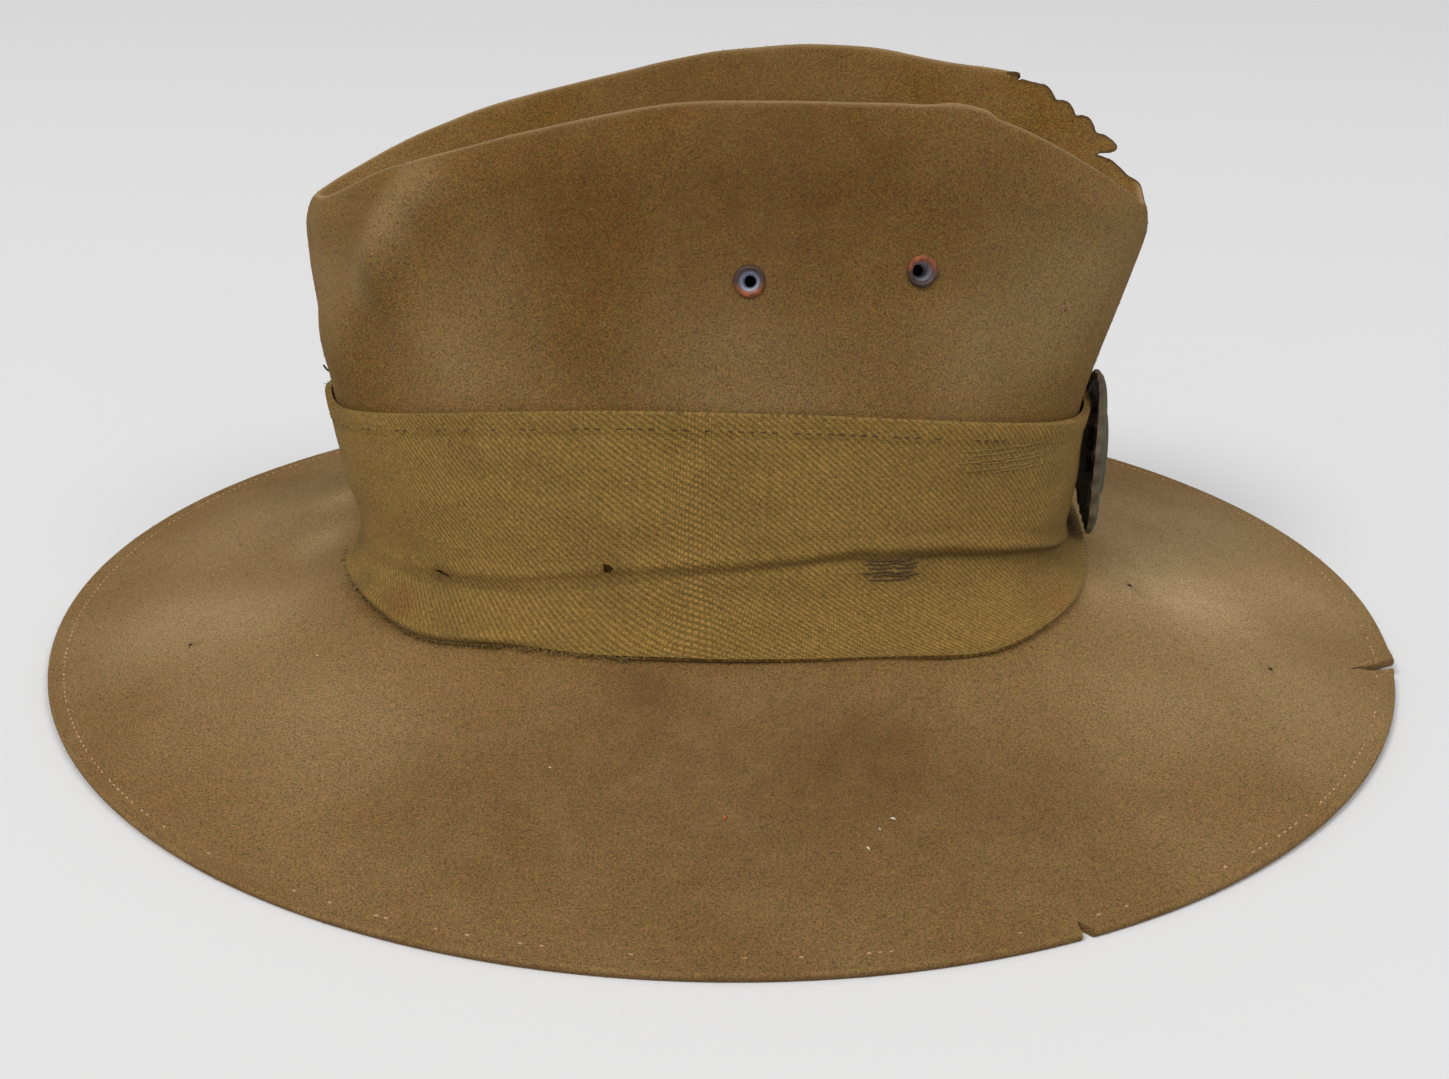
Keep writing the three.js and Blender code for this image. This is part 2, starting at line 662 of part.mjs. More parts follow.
function badgePlate() {
  const points = [];
  const ring = (share, rise, notched) => {
    for (let k = 0; k < badgeSides; k += 1) {
      const angle = (2 * Math.PI * k) / badgeSides;
      const radius = share - (notched && k % 2 ? NOTCH : 0);
      const y = (Math.sin(angle) * radius * badgeWidth) / 2;
      const z = (Math.cos(angle) * radius * badgeHeight) / 2;
      points.push(new THREE.Vector3(badgeBack + rise, crownOffset + y, badgeCentreHeight + z));
    }
  };
  const middle = (rise) => {
    points.push(new THREE.Vector3(badgeBack + rise, crownOffset, badgeCentreHeight));
    return points.length - 1;
  };
  const rim = BADGE_RINGS[0];
  for (const layer of BADGE_RINGS) {
    ring(layer.radius, layer.rise * badgeDomeHeight + badgeThickness, layer === rim);
  }
  const frontMiddle = middle(badgeDomeHeight + badgeThickness);
  const backStart = points.length;
  for (const layer of [...BADGE_RINGS].reverse()) {
    ring(layer.radius, layer.rise * badgeDomeHeight, layer === rim);
  }
  const backMiddle = middle(badgeDomeHeight);
  const faces = [];
  const last = BADGE_RINGS.length - 1;
  for (let k = 0; k < badgeSides; k += 1) {
    const next = (k + 1) % badgeSides;
    for (let row = 0; row < last; row += 1) {
      const a = row * badgeSides;
      const b = a + badgeSides;
      const c = backStart + row * badgeSides;
      const d = c + badgeSides;
      faces.push([a + k, b + next, a + next], [a + k, b + k, b + next]);
      faces.push([c + k, d + next, c + next], [c + k, d + k, d + next]);
    }
    const top = last * badgeSides;
    const edge = backStart + last * badgeSides;
    faces.push([top + k, frontMiddle, top + next], [backStart + k, backStart + next, backMiddle]);
    faces.push([edge + k, k, next], [edge + k, next, edge + next]);
  }
  return solidOf(indexedGeometry(points, faces));
}

const lugHeights = [-1, 1].map((end) => badgeCentreHeight + (end * lugSpacing) / 2);

// How far the plate's back stands off the rim's plane, at a share of its half height.
function badgeRise(share) {
  const inner = BADGE_RINGS.findIndex(({ radius }) => radius <= share);
  if (inner < 0) return badgeDomeHeight * BADGE_RINGS.at(-1).rise;
  const [a, b] = [BADGE_RINGS[Math.max(inner - 1, 0)], BADGE_RINGS[inner]];
  const blend = a === b ? 0 : (a.radius - share) / (a.radius - b.radius);
  return badgeDomeHeight * THREE.MathUtils.lerp(a.rise, b.rise, blend);
}

// A lug: a flat tab through band and felt, with an eye for the pin beyond the felt.
function lugAt(height) {
  const eyeRadius = pinRadius + clearance;
  const tail = pinCentre - eyeRadius - lugThickness;
  const head = badgeBack + badgeRise(lugSpacing / badgeHeight) + badgeThickness / 2;
  const shape = new THREE.Shape([
    new THREE.Vector2(tail, -lugWidth / 2),
    new THREE.Vector2(head, -lugWidth / 2),
    new THREE.Vector2(head, lugWidth / 2),
    new THREE.Vector2(tail, lugWidth / 2),
  ]);
  const eye = new THREE.Path();
  eye.absarc(pinCentre, 0, eyeRadius, 0, 2 * Math.PI, true);
  shape.holes.push(eye);
  const curveSegments = roundSides / 2;
  const tab = new THREE.ExtrudeGeometry(shape, { depth: lugThickness, bevelEnabled: false, curveSegments });
  tab.translate(0, crownOffset, height - lugThickness / 2);
  return solidOf(tab);
}

function lugSlot(height) {
  const outline = rectangle(lugThickness + 2 * clearance, lugWidth + 2 * clearance);
  const origin = new THREE.Vector3(0, crownOffset, height);
  return prism(outline, [AXES.z, AXES.y, AXES.x.clone().negate()], origin, -badgeBack, lugWidth - pinCentre);
}

function pinGeometry() {
  const pin = new THREE.CylinderGeometry(pinRadius, pinRadius, pinLength, roundSides);
  return pin.rotateX(Math.PI / 2);
}

// Bodies

let felt = feltShell();
for (const eyelet of eyelets) felt = felt.subtract(eyeletHoleCut(eyelet));
felt = felt.subtract(tearCut());
felt = felt.subtract(brimWedge(slit));
felt = felt.subtract(brimWedge(nick));
let band = bandSolid();
let badge = badgePlate();
for (const height of lugHeights) {
  felt = felt.subtract(lugSlot(height));
  band = band.subtract(lugSlot(height));
  badge = badge.add(lugAt(height));
}

// Materials and the finished group

const MATERIALS = {
  felt: { color: 0x7a5f3a, roughness: 0.95, metalness: 0 },
  cloth: { color: 0x7b6a35, roughness: 0.92, metalness: 0 },
  iron: { color: 0x5d4a3c, roughness: 0.7, metalness: 0.6 },
  bronze: { color: 0x4a4c3c, roughness: 0.6, metalness: 0.8 },
};

function named(name, geometry, material) {
  const mesh = new THREE.Mesh(geometry, new THREE.MeshStandardMaterial(MATERIALS[material]));
  mesh.name = name;
  return mesh;
}

const hat = new THREE.Group();
hat.add(named("felt_body", geometryOf(felt), "felt"));
hat.add(named("puggaree", geometryOf(band), "cloth"));
for (const eyelet of eyelets) {
  const mesh = named(eyelet.name, eyeletGeometry(), "iron");
  mesh.position.copy(eyelet.point);
  mesh.quaternion.copy(eyelet.turn);
  hat.add(mesh);
}
hat.add(named("badge", geometryOf(badge), "bronze"));
const pin = named("badge_pin", pinGeometry(), "iron");
pin.position.set(pinCentre, crownOffset, badgeCentreHeight);
hat.add(pin);

export default hat;
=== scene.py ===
# %% [markdown]
# A worn felt slouch hat, dressed for the camera.
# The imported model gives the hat's sizes and the place of every piece. This lesson rebuilds the felt and the
# cloth with fine meshes from the same few sizes, then adds what is too small for the model: rows of
# stitches, nap, lint, darning and frayed ends. Lengths are in millimetres until a mesh is made.

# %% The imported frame
import json
import math

import bmesh
import bpy
import numpy as np
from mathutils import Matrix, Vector, kdtree, noise

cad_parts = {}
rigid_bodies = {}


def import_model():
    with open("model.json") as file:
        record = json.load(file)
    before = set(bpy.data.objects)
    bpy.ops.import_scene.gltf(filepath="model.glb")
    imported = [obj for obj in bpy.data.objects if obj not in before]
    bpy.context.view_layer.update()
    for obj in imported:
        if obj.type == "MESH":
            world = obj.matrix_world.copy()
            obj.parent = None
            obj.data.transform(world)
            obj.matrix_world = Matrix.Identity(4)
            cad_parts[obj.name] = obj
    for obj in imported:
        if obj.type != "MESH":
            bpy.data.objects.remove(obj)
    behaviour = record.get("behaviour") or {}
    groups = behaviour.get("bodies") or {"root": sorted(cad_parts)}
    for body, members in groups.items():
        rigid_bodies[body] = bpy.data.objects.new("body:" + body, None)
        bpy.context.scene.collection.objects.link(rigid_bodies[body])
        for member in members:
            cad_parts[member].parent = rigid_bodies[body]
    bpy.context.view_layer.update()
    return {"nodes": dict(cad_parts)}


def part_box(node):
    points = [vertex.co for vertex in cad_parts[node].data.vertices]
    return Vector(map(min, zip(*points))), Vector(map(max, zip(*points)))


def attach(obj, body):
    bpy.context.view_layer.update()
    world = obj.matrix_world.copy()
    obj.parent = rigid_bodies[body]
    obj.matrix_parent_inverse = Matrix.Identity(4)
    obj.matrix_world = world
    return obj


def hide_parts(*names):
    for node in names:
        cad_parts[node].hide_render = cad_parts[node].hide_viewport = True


for startup in list(bpy.data.objects):
    bpy.data.objects.remove(startup)
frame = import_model()
MM = 0.001
print("nodes:", sorted(frame["nodes"]))

# %% [markdown]
# The camera stands a little to the front of the hat's right side and looks down on the brim. Its lens is
# worked out from the photograph's width in pixels, and its place from a distance and two angles, which is
# easier to trim than a bare position.

# %% Camera
PHOTO_WIDTH = 1449
FOCAL_PIXELS = 1695.84
SENSOR = 36.0
VIEW_DISTANCE = 480.0
VIEW_RISE = math.radians(26)
VIEW_TURN = math.radians(4.4)
AIM = Vector((1.2, 11.4, 17.0))

level = math.cos(VIEW_RISE)
away = Vector((math.sin(VIEW_TURN) * level, -math.cos(VIEW_TURN) * level, math.sin(VIEW_RISE)))
camera_data = bpy.data.cameras.new("camera")
camera_data.sensor_width = SENSOR
camera_data.lens = FOCAL_PIXELS / PHOTO_WIDTH * SENSOR
camera_data.clip_start = 0.01
camera = bpy.data.objects.new("camera", camera_data)
camera.location = (AIM + away * VIEW_DISTANCE) * MM
camera.rotation_euler = (math.pi / 2 - VIEW_RISE, 0, VIEW_TURN)
bpy.context.scene.collection.objects.link(camera)
bpy.context.scene.camera = camera
print("camera at", [round(v, 4) for v in camera.location], "lens", round(camera_data.lens, 2))

# %% [markdown]
# Small helpers serve the whole lesson. Colours are picked as sRGB hex values, and Blender works in linear
# light, so one function turns them. Another adds a node with its settings and links in one line. A third
# makes an object of points in millimetres, with its place in its mesh. The others read tables, blend
# softly, and give even turns, unit ways and the numbers of a grid's points.

# %% Helpers
def colour(hex_value):
    parts = [int(hex_value[i : i + 2], 16) / 255 for i in (1, 3, 5)]
    return tuple(p / 12.92 if p <= 0.04045 else ((p + 0.055) / 1.055) ** 2.4 for p in parts) + (1.0,)


def add(tree, kind, inputs=None, **settings):
    node = tree.nodes.new(kind)
    for name, value in settings.items():
        setattr(node, name, value)
    for key, value in (inputs or {}).items():
        if isinstance(value, bpy.types.NodeSocket):
            tree.links.new(value, node.inputs[key])
        else:
            node.inputs[key].default_value = value
    return node


def piece(name, points, faces, material=None):
    mesh = bpy.data.meshes.new(name)
    mesh.from_pydata((np.asarray(points, float) * MM).tolist(), [], [list(f) for f in faces])
    mesh.update()
    made = bpy.data.objects.new(name, mesh)
    bpy.context.scene.collection.objects.link(made)
    if material:
        mesh.materials.append(material)
    return made


def face_outward(made):
    edit = bmesh.new()
    edit.from_mesh(made.data)
    bmesh.ops.recalc_face_normals(edit, faces=edit.faces)
    edit.to_mesh(made.data)
    edit.free()
    return made


def table(columns, *rows):
    return [dict(zip(columns.split(), row)) for row in rows]


def smooth_step(value, low, high):
    share = np.clip((value - low) / (high - low), 0, 1)
    return share * share * (3 - 2 * share)


def bell(share):
    return np.exp(-np.square(share))


def degrees_apart(a, b):
    return np.mod(a - b + 180, 360) - 180


def read_at(rows, angle, field):
    """A table's value at an angle in degrees, between the rows on either side of it."""
    return np.interp(degrees_apart(angle, 0), [row["angle"] for row in rows], [row[field] for row in rows])


def turns(count):
    return 2 * np.pi * np.arange(count) / count


def circle(count):
    return np.stack([np.cos(turns(count)), np.sin(turns(count))], axis=1)


def rectangle(half_wide, half_tall):
    return np.array([(-1, -1), (1, -1), (1, 1), (-1, 1)]) * (half_wide, half_tall)


def unit(ways):
    return ways / np.linalg.norm(ways, axis=-1, keepdims=True)


def grid_ids(rings, columns):
    return np.arange(rings)[:, None] * columns + np.arange(columns)[None, :]


def noise_at(points, size):
    return np.array([noise.noise(Vector(point) / size) for point in points])


def mesh_points(made):
    flat = np.empty(len(made.data.vertices) * 3)
    made.data.vertices.foreach_get("co", flat)
    return flat.reshape(-1, 3) / MM


def packed_box(node):
    return [np.array(corner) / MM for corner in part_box(node)]


def search_tree(points):
    found = kdtree.KDTree(len(points))
    for number, point in enumerate(points):
        found.insert(point, number)
    found.balance()
    return found


def remove(unwanted):
    for made in unwanted:
        bpy.data.objects.remove(made)


# %% [markdown]
# The felt is one skin from the brim's edge, up the crown's wall, over the ridge and down into the crease.
# Each row of the tables is a ring of that skin. A smooth curve runs through the rows at every angle round
# the hat, so a finer mesh only means more angles and more steps along the curve. The sizes are the ones of
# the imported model, repeated here.

# %% Sizes of the felt
BRIM_LENGTH, BRIM_BREADTH = 362.0, 311.0
CROWN_LENGTH, CROWN_BREADTH, CROWN_OFFSET = 200.0, 142.0, 3.0
CREST_HEIGHT, FOOT_HEIGHT, RIDGE_SPACING, CREASE_DEPTH = 148.6, 22.5, 70.0, 31.0
FELT_THICKNESS, BRIM_LIFT, BRIM_WAVE, DENT_DEPTH = 2.2, 1.6, 5.0, 6.0
BAND_HEIGHT, CLEARANCE = 62.0, 0.3
HALF_LENGTH, HALF_BREADTH = CROWN_LENGTH / 2, CROWN_BREADTH / 2
BAND_TOP = FOOT_HEIGHT + BAND_HEIGHT

BRIM_ROWS = table(
    "name reach rise lift steps",
    ("edge", 0.0, 0.0, 1.0, 1),
    ("rim", 0.06, 0.0, 1.0, 2),
    ("middle", 0.42, 0.29, 0.6, 2),
    ("inner", 0.8, 0.68, 0.2, 1),
)
BAND_ROWS = table(
    "name front rear side at_side at_front at_rear square steps",
    ("foot", 1.0, 0.985, 1.0, 0, 0.05, 0.0, 2.9, 1),
    ("kick", 0.95, 0.955, 0.95, 0.09, 0.11, 0.1, 2.8, 1),
    ("waist", 0.908, 0.94, 0.9, 0.26, 0.19, 0.18, 2.6, 2),
    ("swell", 0.93, 0.99, 0.855, 0.6, 0.46, 0.45, 2.4, 2),
    ("band_top", 0.96, 1.02, 0.8, 1, 0.76, 0.73, 2.3, 2),
)
WALL_ROWS = table(
    "name front rear side at_side at_front at_rear steps",
    ("wall_middle", 0.995, 1.05, 0.75, 0.26, -0.03, -0.03, 2),
    ("wall_top", 1.045, 1.065, 0.66, 0.62, 0.26, 0.26, 2),
)
RIDGE_ROWS = table(
    "name front rear side at_side at_front at_rear steps",
    ("shoulder", 1.072, 1.06, 1.19, 0.89, 0.46, 0.42, 2),
    ("crest", 1.055, 1.03, 0.97, 1.0, 0.54, 0.5, 2),
)
CREASE_ROWS = table(
    "name front rear side at_side at_front at_rear steps",
    ("lip", 0.99, 0.965, 0.68, 0.27, 0.06, 0.08, 2),
    ("slope", 0.93, 0.9, 0.36, 0.74, 0.24, 0.3, 1),
    ("valley", 0.87, 0.85, 0, 1.0, 0.42, 0.5, 0),
)
FALL_BAND, FALL_TOP = (2.4, 2.0), (4.2, 1.6)
TOP_SQUARE = 2.3

DENTS = table(
    "name side x z along across turn out up",
    ("rear_fold", -1, -0.82, 0.74, 0.26, 0.07, 58, 0.55, 0),
    ("rear_fold_crest", -1, -0.79, 0.75, 0.2, 0.036, 58, 0.55, 0),
    ("rear_fold_foot", -1, -0.73, 0.72, 0.2, 0.05, 58, -0.35, 0),
    ("rear_hollow", -1, -0.97, 0.72, 0.22, 0.1, 62, -0.9, 0),
    ("rear_slope", -1, -0.6, 0.7, 0.26, 0.18, 55, -0.3, 0),
    ("side_swell", -1, 0.15, 0.72, 0.5, 0.16, 0, 0.2, 0),
    ("front_hollow", -1, 0.8, 0.68, 0.2, 0.14, 100, -0.4, 0),
    ("right_front", -1, 0.86, 0.92, 0.22, 0.2, -30, 0, -0.6),
    ("right_rear", -1, -0.4, 0.95, 0.34, 0.2, 0, 0, -0.4),
    ("left_front", 1, 0.88, 0.9, 0.22, 0.2, -35, 0.5, 0.35),
    ("left_dip", 1, 0.58, 0.97, 0.16, 0.2, -10, 0, -0.3),
    ("left_ridge", 1, 0.22, 0.98, 0.42, 0.22, 0, 0, 0.15),
    ("left_rear", 1, -0.38, 0.95, 0.4, 0.22, 8, 0, -0.65),
    ("left_side", 1, -0.1, 0.66, 0.4, 0.2, 15, -0.5, 0),
)
DENT_BLEND = 0.13

WAVES = table(
    "name angle spread reach lift",
    ("rear_left", 165, 9, 0.62, 0.45),
    ("rear", -176, 8, 0.75, -0.35),
    ("rear_right", -158, 10, 0.72, 0.35),
    ("right_rear", -112, 11, 0.68, -0.3),
    ("right", -84, 10, 0.6, 0.3),
    ("right_front", -52, 11, 0.6, -0.35),
    ("front", -12, 12, 0.6, 0.5),
    ("front_left", 28, 12, 0.6, -0.3),
    ("left", 84, 16, 0.6, 0.35),
    ("left_rear", 128, 12, 0.65, -0.3),
)
WAVE_REACH = 0.3
WAVE_RISE, WAVE_FADE = (0.12, 0.4), (0.85, 1.0)
REST_COSINE = 0.4


def crown_row(row, half, base, rise, fall):
    return dict(
        name=row["name"],
        steps=row["steps"],
        front=row["front"] * HALF_LENGTH,
        rear=row["rear"] * HALF_LENGTH,
        side=row["side"] * half,
        side_height=base + row["at_side"] * rise,
        front_height=base + row["at_front"] * rise,
        rear_height=base + row["at_rear"] * rise,
        square=row.get("square", TOP_SQUARE),
        fall=fall,
    )


RIDGE_HALF, CROWN_RISE = RIDGE_SPACING / 2, CREST_HEIGHT - BAND_TOP
band_rows = [crown_row(row, HALF_BREADTH, FOOT_HEIGHT, BAND_HEIGHT, FALL_BAND) for row in BAND_ROWS]
wall_rows = [crown_row(row, HALF_BREADTH, BAND_TOP, CROWN_RISE, FALL_TOP) for row in WALL_ROWS]
ridge_rows = [crown_row(row, RIDGE_HALF, BAND_TOP, CROWN_RISE, FALL_TOP) for row in RIDGE_ROWS]
crease_rows = [crown_row(row, RIDGE_HALF, 0, -CREASE_DEPTH, FALL_TOP) for row in CREASE_ROWS]
crest, foot = ridge_rows[-1], band_rows[0]
for row in crease_rows:
    for end in ("side_height", "front_height", "rear_height"):
        row[end] += crest[end]


def brim_row(row):
    reach = row["reach"]
    return dict(
        name=row["name"],
        steps=row["steps"],
        reach=reach,
        front=BRIM_LENGTH / 2 * (1 - reach) + foot["front"] * reach,
        rear=BRIM_LENGTH / 2 * (1 - reach) + foot["rear"] * reach,
        side=BRIM_BREADTH / 2 * (1 - reach) + foot["side"] * reach,
        square=2 * (1 - reach) + foot["square"] * reach,
        height=FELT_THICKNESS + row["rise"] * (FOOT_HEIGHT - FELT_THICKNESS),
        lift=row["lift"] * BRIM_LIFT,
    )


ROWS = [brim_row(row) for row in BRIM_ROWS] + band_rows + wall_rows + ridge_rows + crease_rows
ROW_NAMES = [row["name"] for row in ROWS]
print("rows:", ROW_NAMES)

# %% [markdown]
# One function gives a row's points at many angles at once. Its plan is an ellipse made squarer by a power,
# its height falls towards the front and rear, waves lift the brim, and dents push the crown in and out.
# A second function runs the smooth curve through the rows, with the knot spacing that keeps it free of
# loops where the rows come close together.

# %% The skin's points
def wave_lift(angle, reach):
    lift = np.zeros_like(angle)
    for wave in WAVES:
        around = bell(degrees_apart(np.degrees(angle), wave["angle"]) / wave["spread"])
        lift += wave["lift"] * BRIM_WAVE * around * bell((reach - wave["reach"]) / WAVE_REACH)
    return lift * smooth_step(reach, *WAVE_RISE) * (1 - smooth_step(reach, *WAVE_FADE))


def dent(points, outward):
    for push in DENTS:
        share = smooth_step((points[:, 1] - CROWN_OFFSET) * push["side"], 0, DENT_BLEND * HALF_BREADTH)
        dx = points[:, 0] - push["x"] * HALF_LENGTH
        dz = points[:, 2] - push["z"] * CREST_HEIGHT
        turn = math.radians(push["turn"])
        along = (dx * math.cos(turn) + dz * math.sin(turn)) / (push["along"] * HALF_LENGTH)
        across = (dz * math.cos(turn) - dx * math.sin(turn)) / (push["across"] * HALF_LENGTH)
        amount = (share * bell(along) * bell(across) * DENT_DEPTH)[:, None]
        points += outward * push["out"] * amount
        points[:, 2] += push["up"] * amount[:, 0]


def row_points(row, angle):
    c, s = np.cos(angle), np.sin(angle)
    power = 2 / row["square"]
    x = np.sign(c) * np.abs(c) ** power * np.where(c > 0, row["front"], row["rear"])
    y = np.sign(s) * np.abs(s) ** power * row["side"] + CROWN_OFFSET * row.get("reach", 1)
    if "reach" in row:
        past = np.maximum(0, np.abs(c) - REST_COSINE) / (1 - REST_COSINE)
        z = row["height"] + row["lift"] * past**2 + wave_lift(angle, row["reach"])
        return np.stack([x, y, z], axis=1)
    end = np.where(c > 0, row["front_height"], row["rear_height"])
    fall = np.abs(c) ** np.where(c > 0, *row["fall"])
    points = np.stack([x, y, row["side_height"] * (1 - fall) + end * fall], axis=1)
    span = np.stack([c / HALF_LENGTH, s / HALF_BREADTH, np.zeros_like(c)], axis=1)
    dent(points, unit(span))
    return points


SAME_KNOT = 1e-4


def knot(a, b):
    return np.sum((a - b) ** 2, axis=-1, keepdims=True) ** 0.25


def skin(positions, angle):
    """Points at row positions, where 1.5 is halfway from the second row to the third, for each angle."""
    control = np.stack([row_points(row, angle) for row in ROWS])
    last = len(ROWS) - 1
    positions = np.broadcast_to(positions[:, None], (len(positions), len(angle)))
    index = np.clip(np.floor(positions).astype(int), 0, last - 1)
    w = (positions - index)[..., None]
    column = np.arange(len(angle))[None, :]
    a, b = control[index, column], control[index + 1, column]
    row_before = control[np.maximum(index - 1, 0), column]
    row_after = control[np.minimum(index + 2, last), column]
    before = np.where((index > 0)[..., None], row_before, 2 * a - b)
    after = np.where((index + 2 <= last)[..., None], row_after, 2 * b - a)
    d1 = knot(a, b)
    d1 = np.where(d1 < SAME_KNOT, 1, d1)
    d0, d2 = knot(before, a), knot(b, after)
    d0, d2 = np.where(d0 < SAME_KNOT, d1, d0), np.where(d2 < SAME_KNOT, d1, d2)
    leave = ((a - before) / d0 - (b - before) / (d0 + d1) + (b - a) / d1) * d1
    meet = ((b - a) / d1 - (after - a) / (d1 + d2) + (after - b) / d2) * d1
    return a + leave * w + (3 * (b - a) - 2 * leave - meet) * w**2 + (2 * (a - b) + leave + meet) * w**3


def row_number(name):
    return ROW_NAMES.index(name)


# %% [markdown]
# A helper turns rows of points into faces that run round the hat, and another gives each point the mean of
# its faces' normals, which is the way a wall gets its thickness.

# %% Grids and normals
def ring_faces(lower, upper, flip=False):
    ahead_low, ahead_high = np.roll(lower, -1), np.roll(upper, -1)
    quads = np.stack([lower, ahead_low, ahead_high, upper], axis=1)
    return quads[:, ::-1] if flip else quads


def point_normals(points, quads):
    corner = points[quads]
    normal = np.cross(corner[:, 2] - corner[:, 0], corner[:, 3] - corner[:, 1])
    total = np.zeros_like(points)
    for k in range(4):
        np.add.at(total, quads[:, k], normal)
    return total / np.maximum(np.linalg.norm(total, axis=1, keepdims=True), 1e-12)


FELT_COLUMNS = 288
STEP_SHARE = 5
positions = []
for number, row in enumerate(ROWS):
    steps = row["steps"] * STEP_SHARE
    positions += [number + step / steps for step in range(steps)]
positions = np.array(positions + [len(ROWS) - 1.0])
rings, half_round = len(positions), FELT_COLUMNS // 2
angles, columns = turns(FELT_COLUMNS), np.arange(FELT_COLUMNS)
ids = grid_ids(rings, FELT_COLUMNS)
ids[-1] = ids[-1, 0] + np.minimum(columns, FELT_COLUMNS - columns)
grid = skin(positions, angles)
outer = np.concatenate([grid[:-1].reshape(-1, 3), grid[-1, : half_round + 1]])
outer_quads = np.concatenate([ring_faces(ids[q], ids[q + 1]) for q in range(rings - 1)])
print("felt skin:", outer.shape[0], "points,", len(outer_quads), "faces")

# %% [markdown]
# Old felt is never quite smooth. Two sizes of soft noise move the skin along its normals, a long one for
# the brim's slack and a short one for handling dents. The strip that the hat rests on keeps its level. The
# near ridge bulges a little before its front end, and the felt curls up beside the slit in the brim.

# %% Slack and handling dents
SLACK_SIZE, SLACK_DEPTH = 42.0, 0.7
HANDLING_SIZE, HANDLING_DEPTH = 13.0, 0.22
SLIT_ANGLE, SLIT_TURN, SLIT_LENGTH, SLIT_WIDTH = math.radians(-9), math.radians(25), 14.0, 2.6
NICK_ANGLE, NICK_LENGTH, NICK_WIDTH = math.radians(-61), 4.0, 3.0
CURL_HEIGHT, CURL_SPREAD = 2.2, 7.0
RIDGE_BUMP = {"x_from": 48, "x_full": 58, "x_keep": 64.4, "x_end": 66.2, "rise": 1.3}
RIDGE_REACH = 0.3

valley_positions = np.full(half_round + 1, positions[-1])
point_position = np.concatenate([np.repeat(positions[:-1], FELT_COLUMNS), valley_positions])
free = smooth_step(point_position, row_number("rim"), row_number("middle"))
lumps = noise_at(outer, SLACK_SIZE) * SLACK_DEPTH + noise_at(outer, HANDLING_SIZE) * HANDLING_DEPTH
outer = outer + point_normals(outer, outer_quads) * (lumps * free)[:, None]


def edge_point(angle):
    return skin(np.array([0.0]), np.array([angle]))[0, 0]


def inward_way(angle, turn):
    edge = edge_point(angle)
    way = math.atan2(-edge[1], -edge[0]) + turn
    return np.array([math.cos(way), math.sin(way), 0.0])


on_ridge = bell((point_position - row_number("crest")) / RIDGE_REACH) * (outer[:, 1] < CROWN_OFFSET)
rising = smooth_step(outer[:, 0], RIDGE_BUMP["x_from"], RIDGE_BUMP["x_full"])
falling = 1 - smooth_step(outer[:, 0], RIDGE_BUMP["x_keep"], RIDGE_BUMP["x_end"])
outer[:, 2] += RIDGE_BUMP["rise"] * on_ridge * rising * falling
slit_edge, slit_way = edge_point(SLIT_ANGLE), inward_way(SLIT_ANGLE, SLIT_TURN)
from_slit = outer - slit_edge
deep = from_slit @ slit_way
aside = from_slit @ np.array([slit_way[1], -slit_way[0], 0.0])
on_brim = point_position < row_number("foot")
lip = bell(aside / CURL_SPREAD) * (aside > 0) * (1 - smooth_step(deep, 0, SLIT_LENGTH)) * on_brim
outer[:, 2] += CURL_HEIGHT * lip
print("curled lip reaches", round(float(outer[point_position < 1][:, 2].max()), 2), "mm")

# %% [markdown]
# The wall is the skin and a second skin one thickness inside it. The brim's edge is rounded over with a few
# rings, because cut felt never keeps a sharp corner.

# %% The felt wall
EDGE_ROUND = 0.7
EDGE_RINGS = 5

inner = outer - point_normals(outer, outer_quads) * FELT_THICKNESS
rim_count = int(np.sum(positions <= row_number("rim"))) * FELT_COLUMNS
inner[:rim_count] = outer[:rim_count] - np.array([0, 0, FELT_THICKNESS])
inner[:, 2] = np.maximum(inner[:, 2], 0)
rim = outer[:FELT_COLUMNS].copy()
out_way = unit(rim * np.array([1, 1, 0]))
rim_rings = []
for step in range(1, EDGE_RINGS + 1):
    turn = math.pi * step / (EDGE_RINGS + 1)
    drop = FELT_THICKNESS / 2 * (1 - math.cos(turn))
    rim_rings.append(rim - out_way * EDGE_ROUND * (1 - math.sin(turn)) - np.array([0, 0, drop]))
outer[:FELT_COLUMNS] -= out_way * EDGE_ROUND
inner[:FELT_COLUMNS] -= out_way * EDGE_ROUND
skin_size = len(outer)
rim_ids = [ids[0], *(2 * skin_size + grid_ids(EDGE_RINGS, FELT_COLUMNS)), ids[0] + skin_size]
rim_quads = np.concatenate([ring_faces(rim_ids[k + 1], rim_ids[k]) for k in range(EDGE_RINGS + 1)])
felt_points = np.concatenate([outer, inner] + rim_rings)
felt_faces = np.concatenate([outer_quads, outer_quads[:, ::-1] + skin_size, rim_quads])
felt_hat = piece("felt_hat", felt_points, felt_faces)
print("felt wall:", len(felt_faces), "faces")

# %% [markdown]
# The holes and the torn edge are cut with one Boolean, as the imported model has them. The torn part is a
# ragged piece missing from the top behind the far ridge. Its outline is a row of corners along the hat and
# down from the ridge, rounded by a smooth curve so the felt looks pulled apart and not sawn.

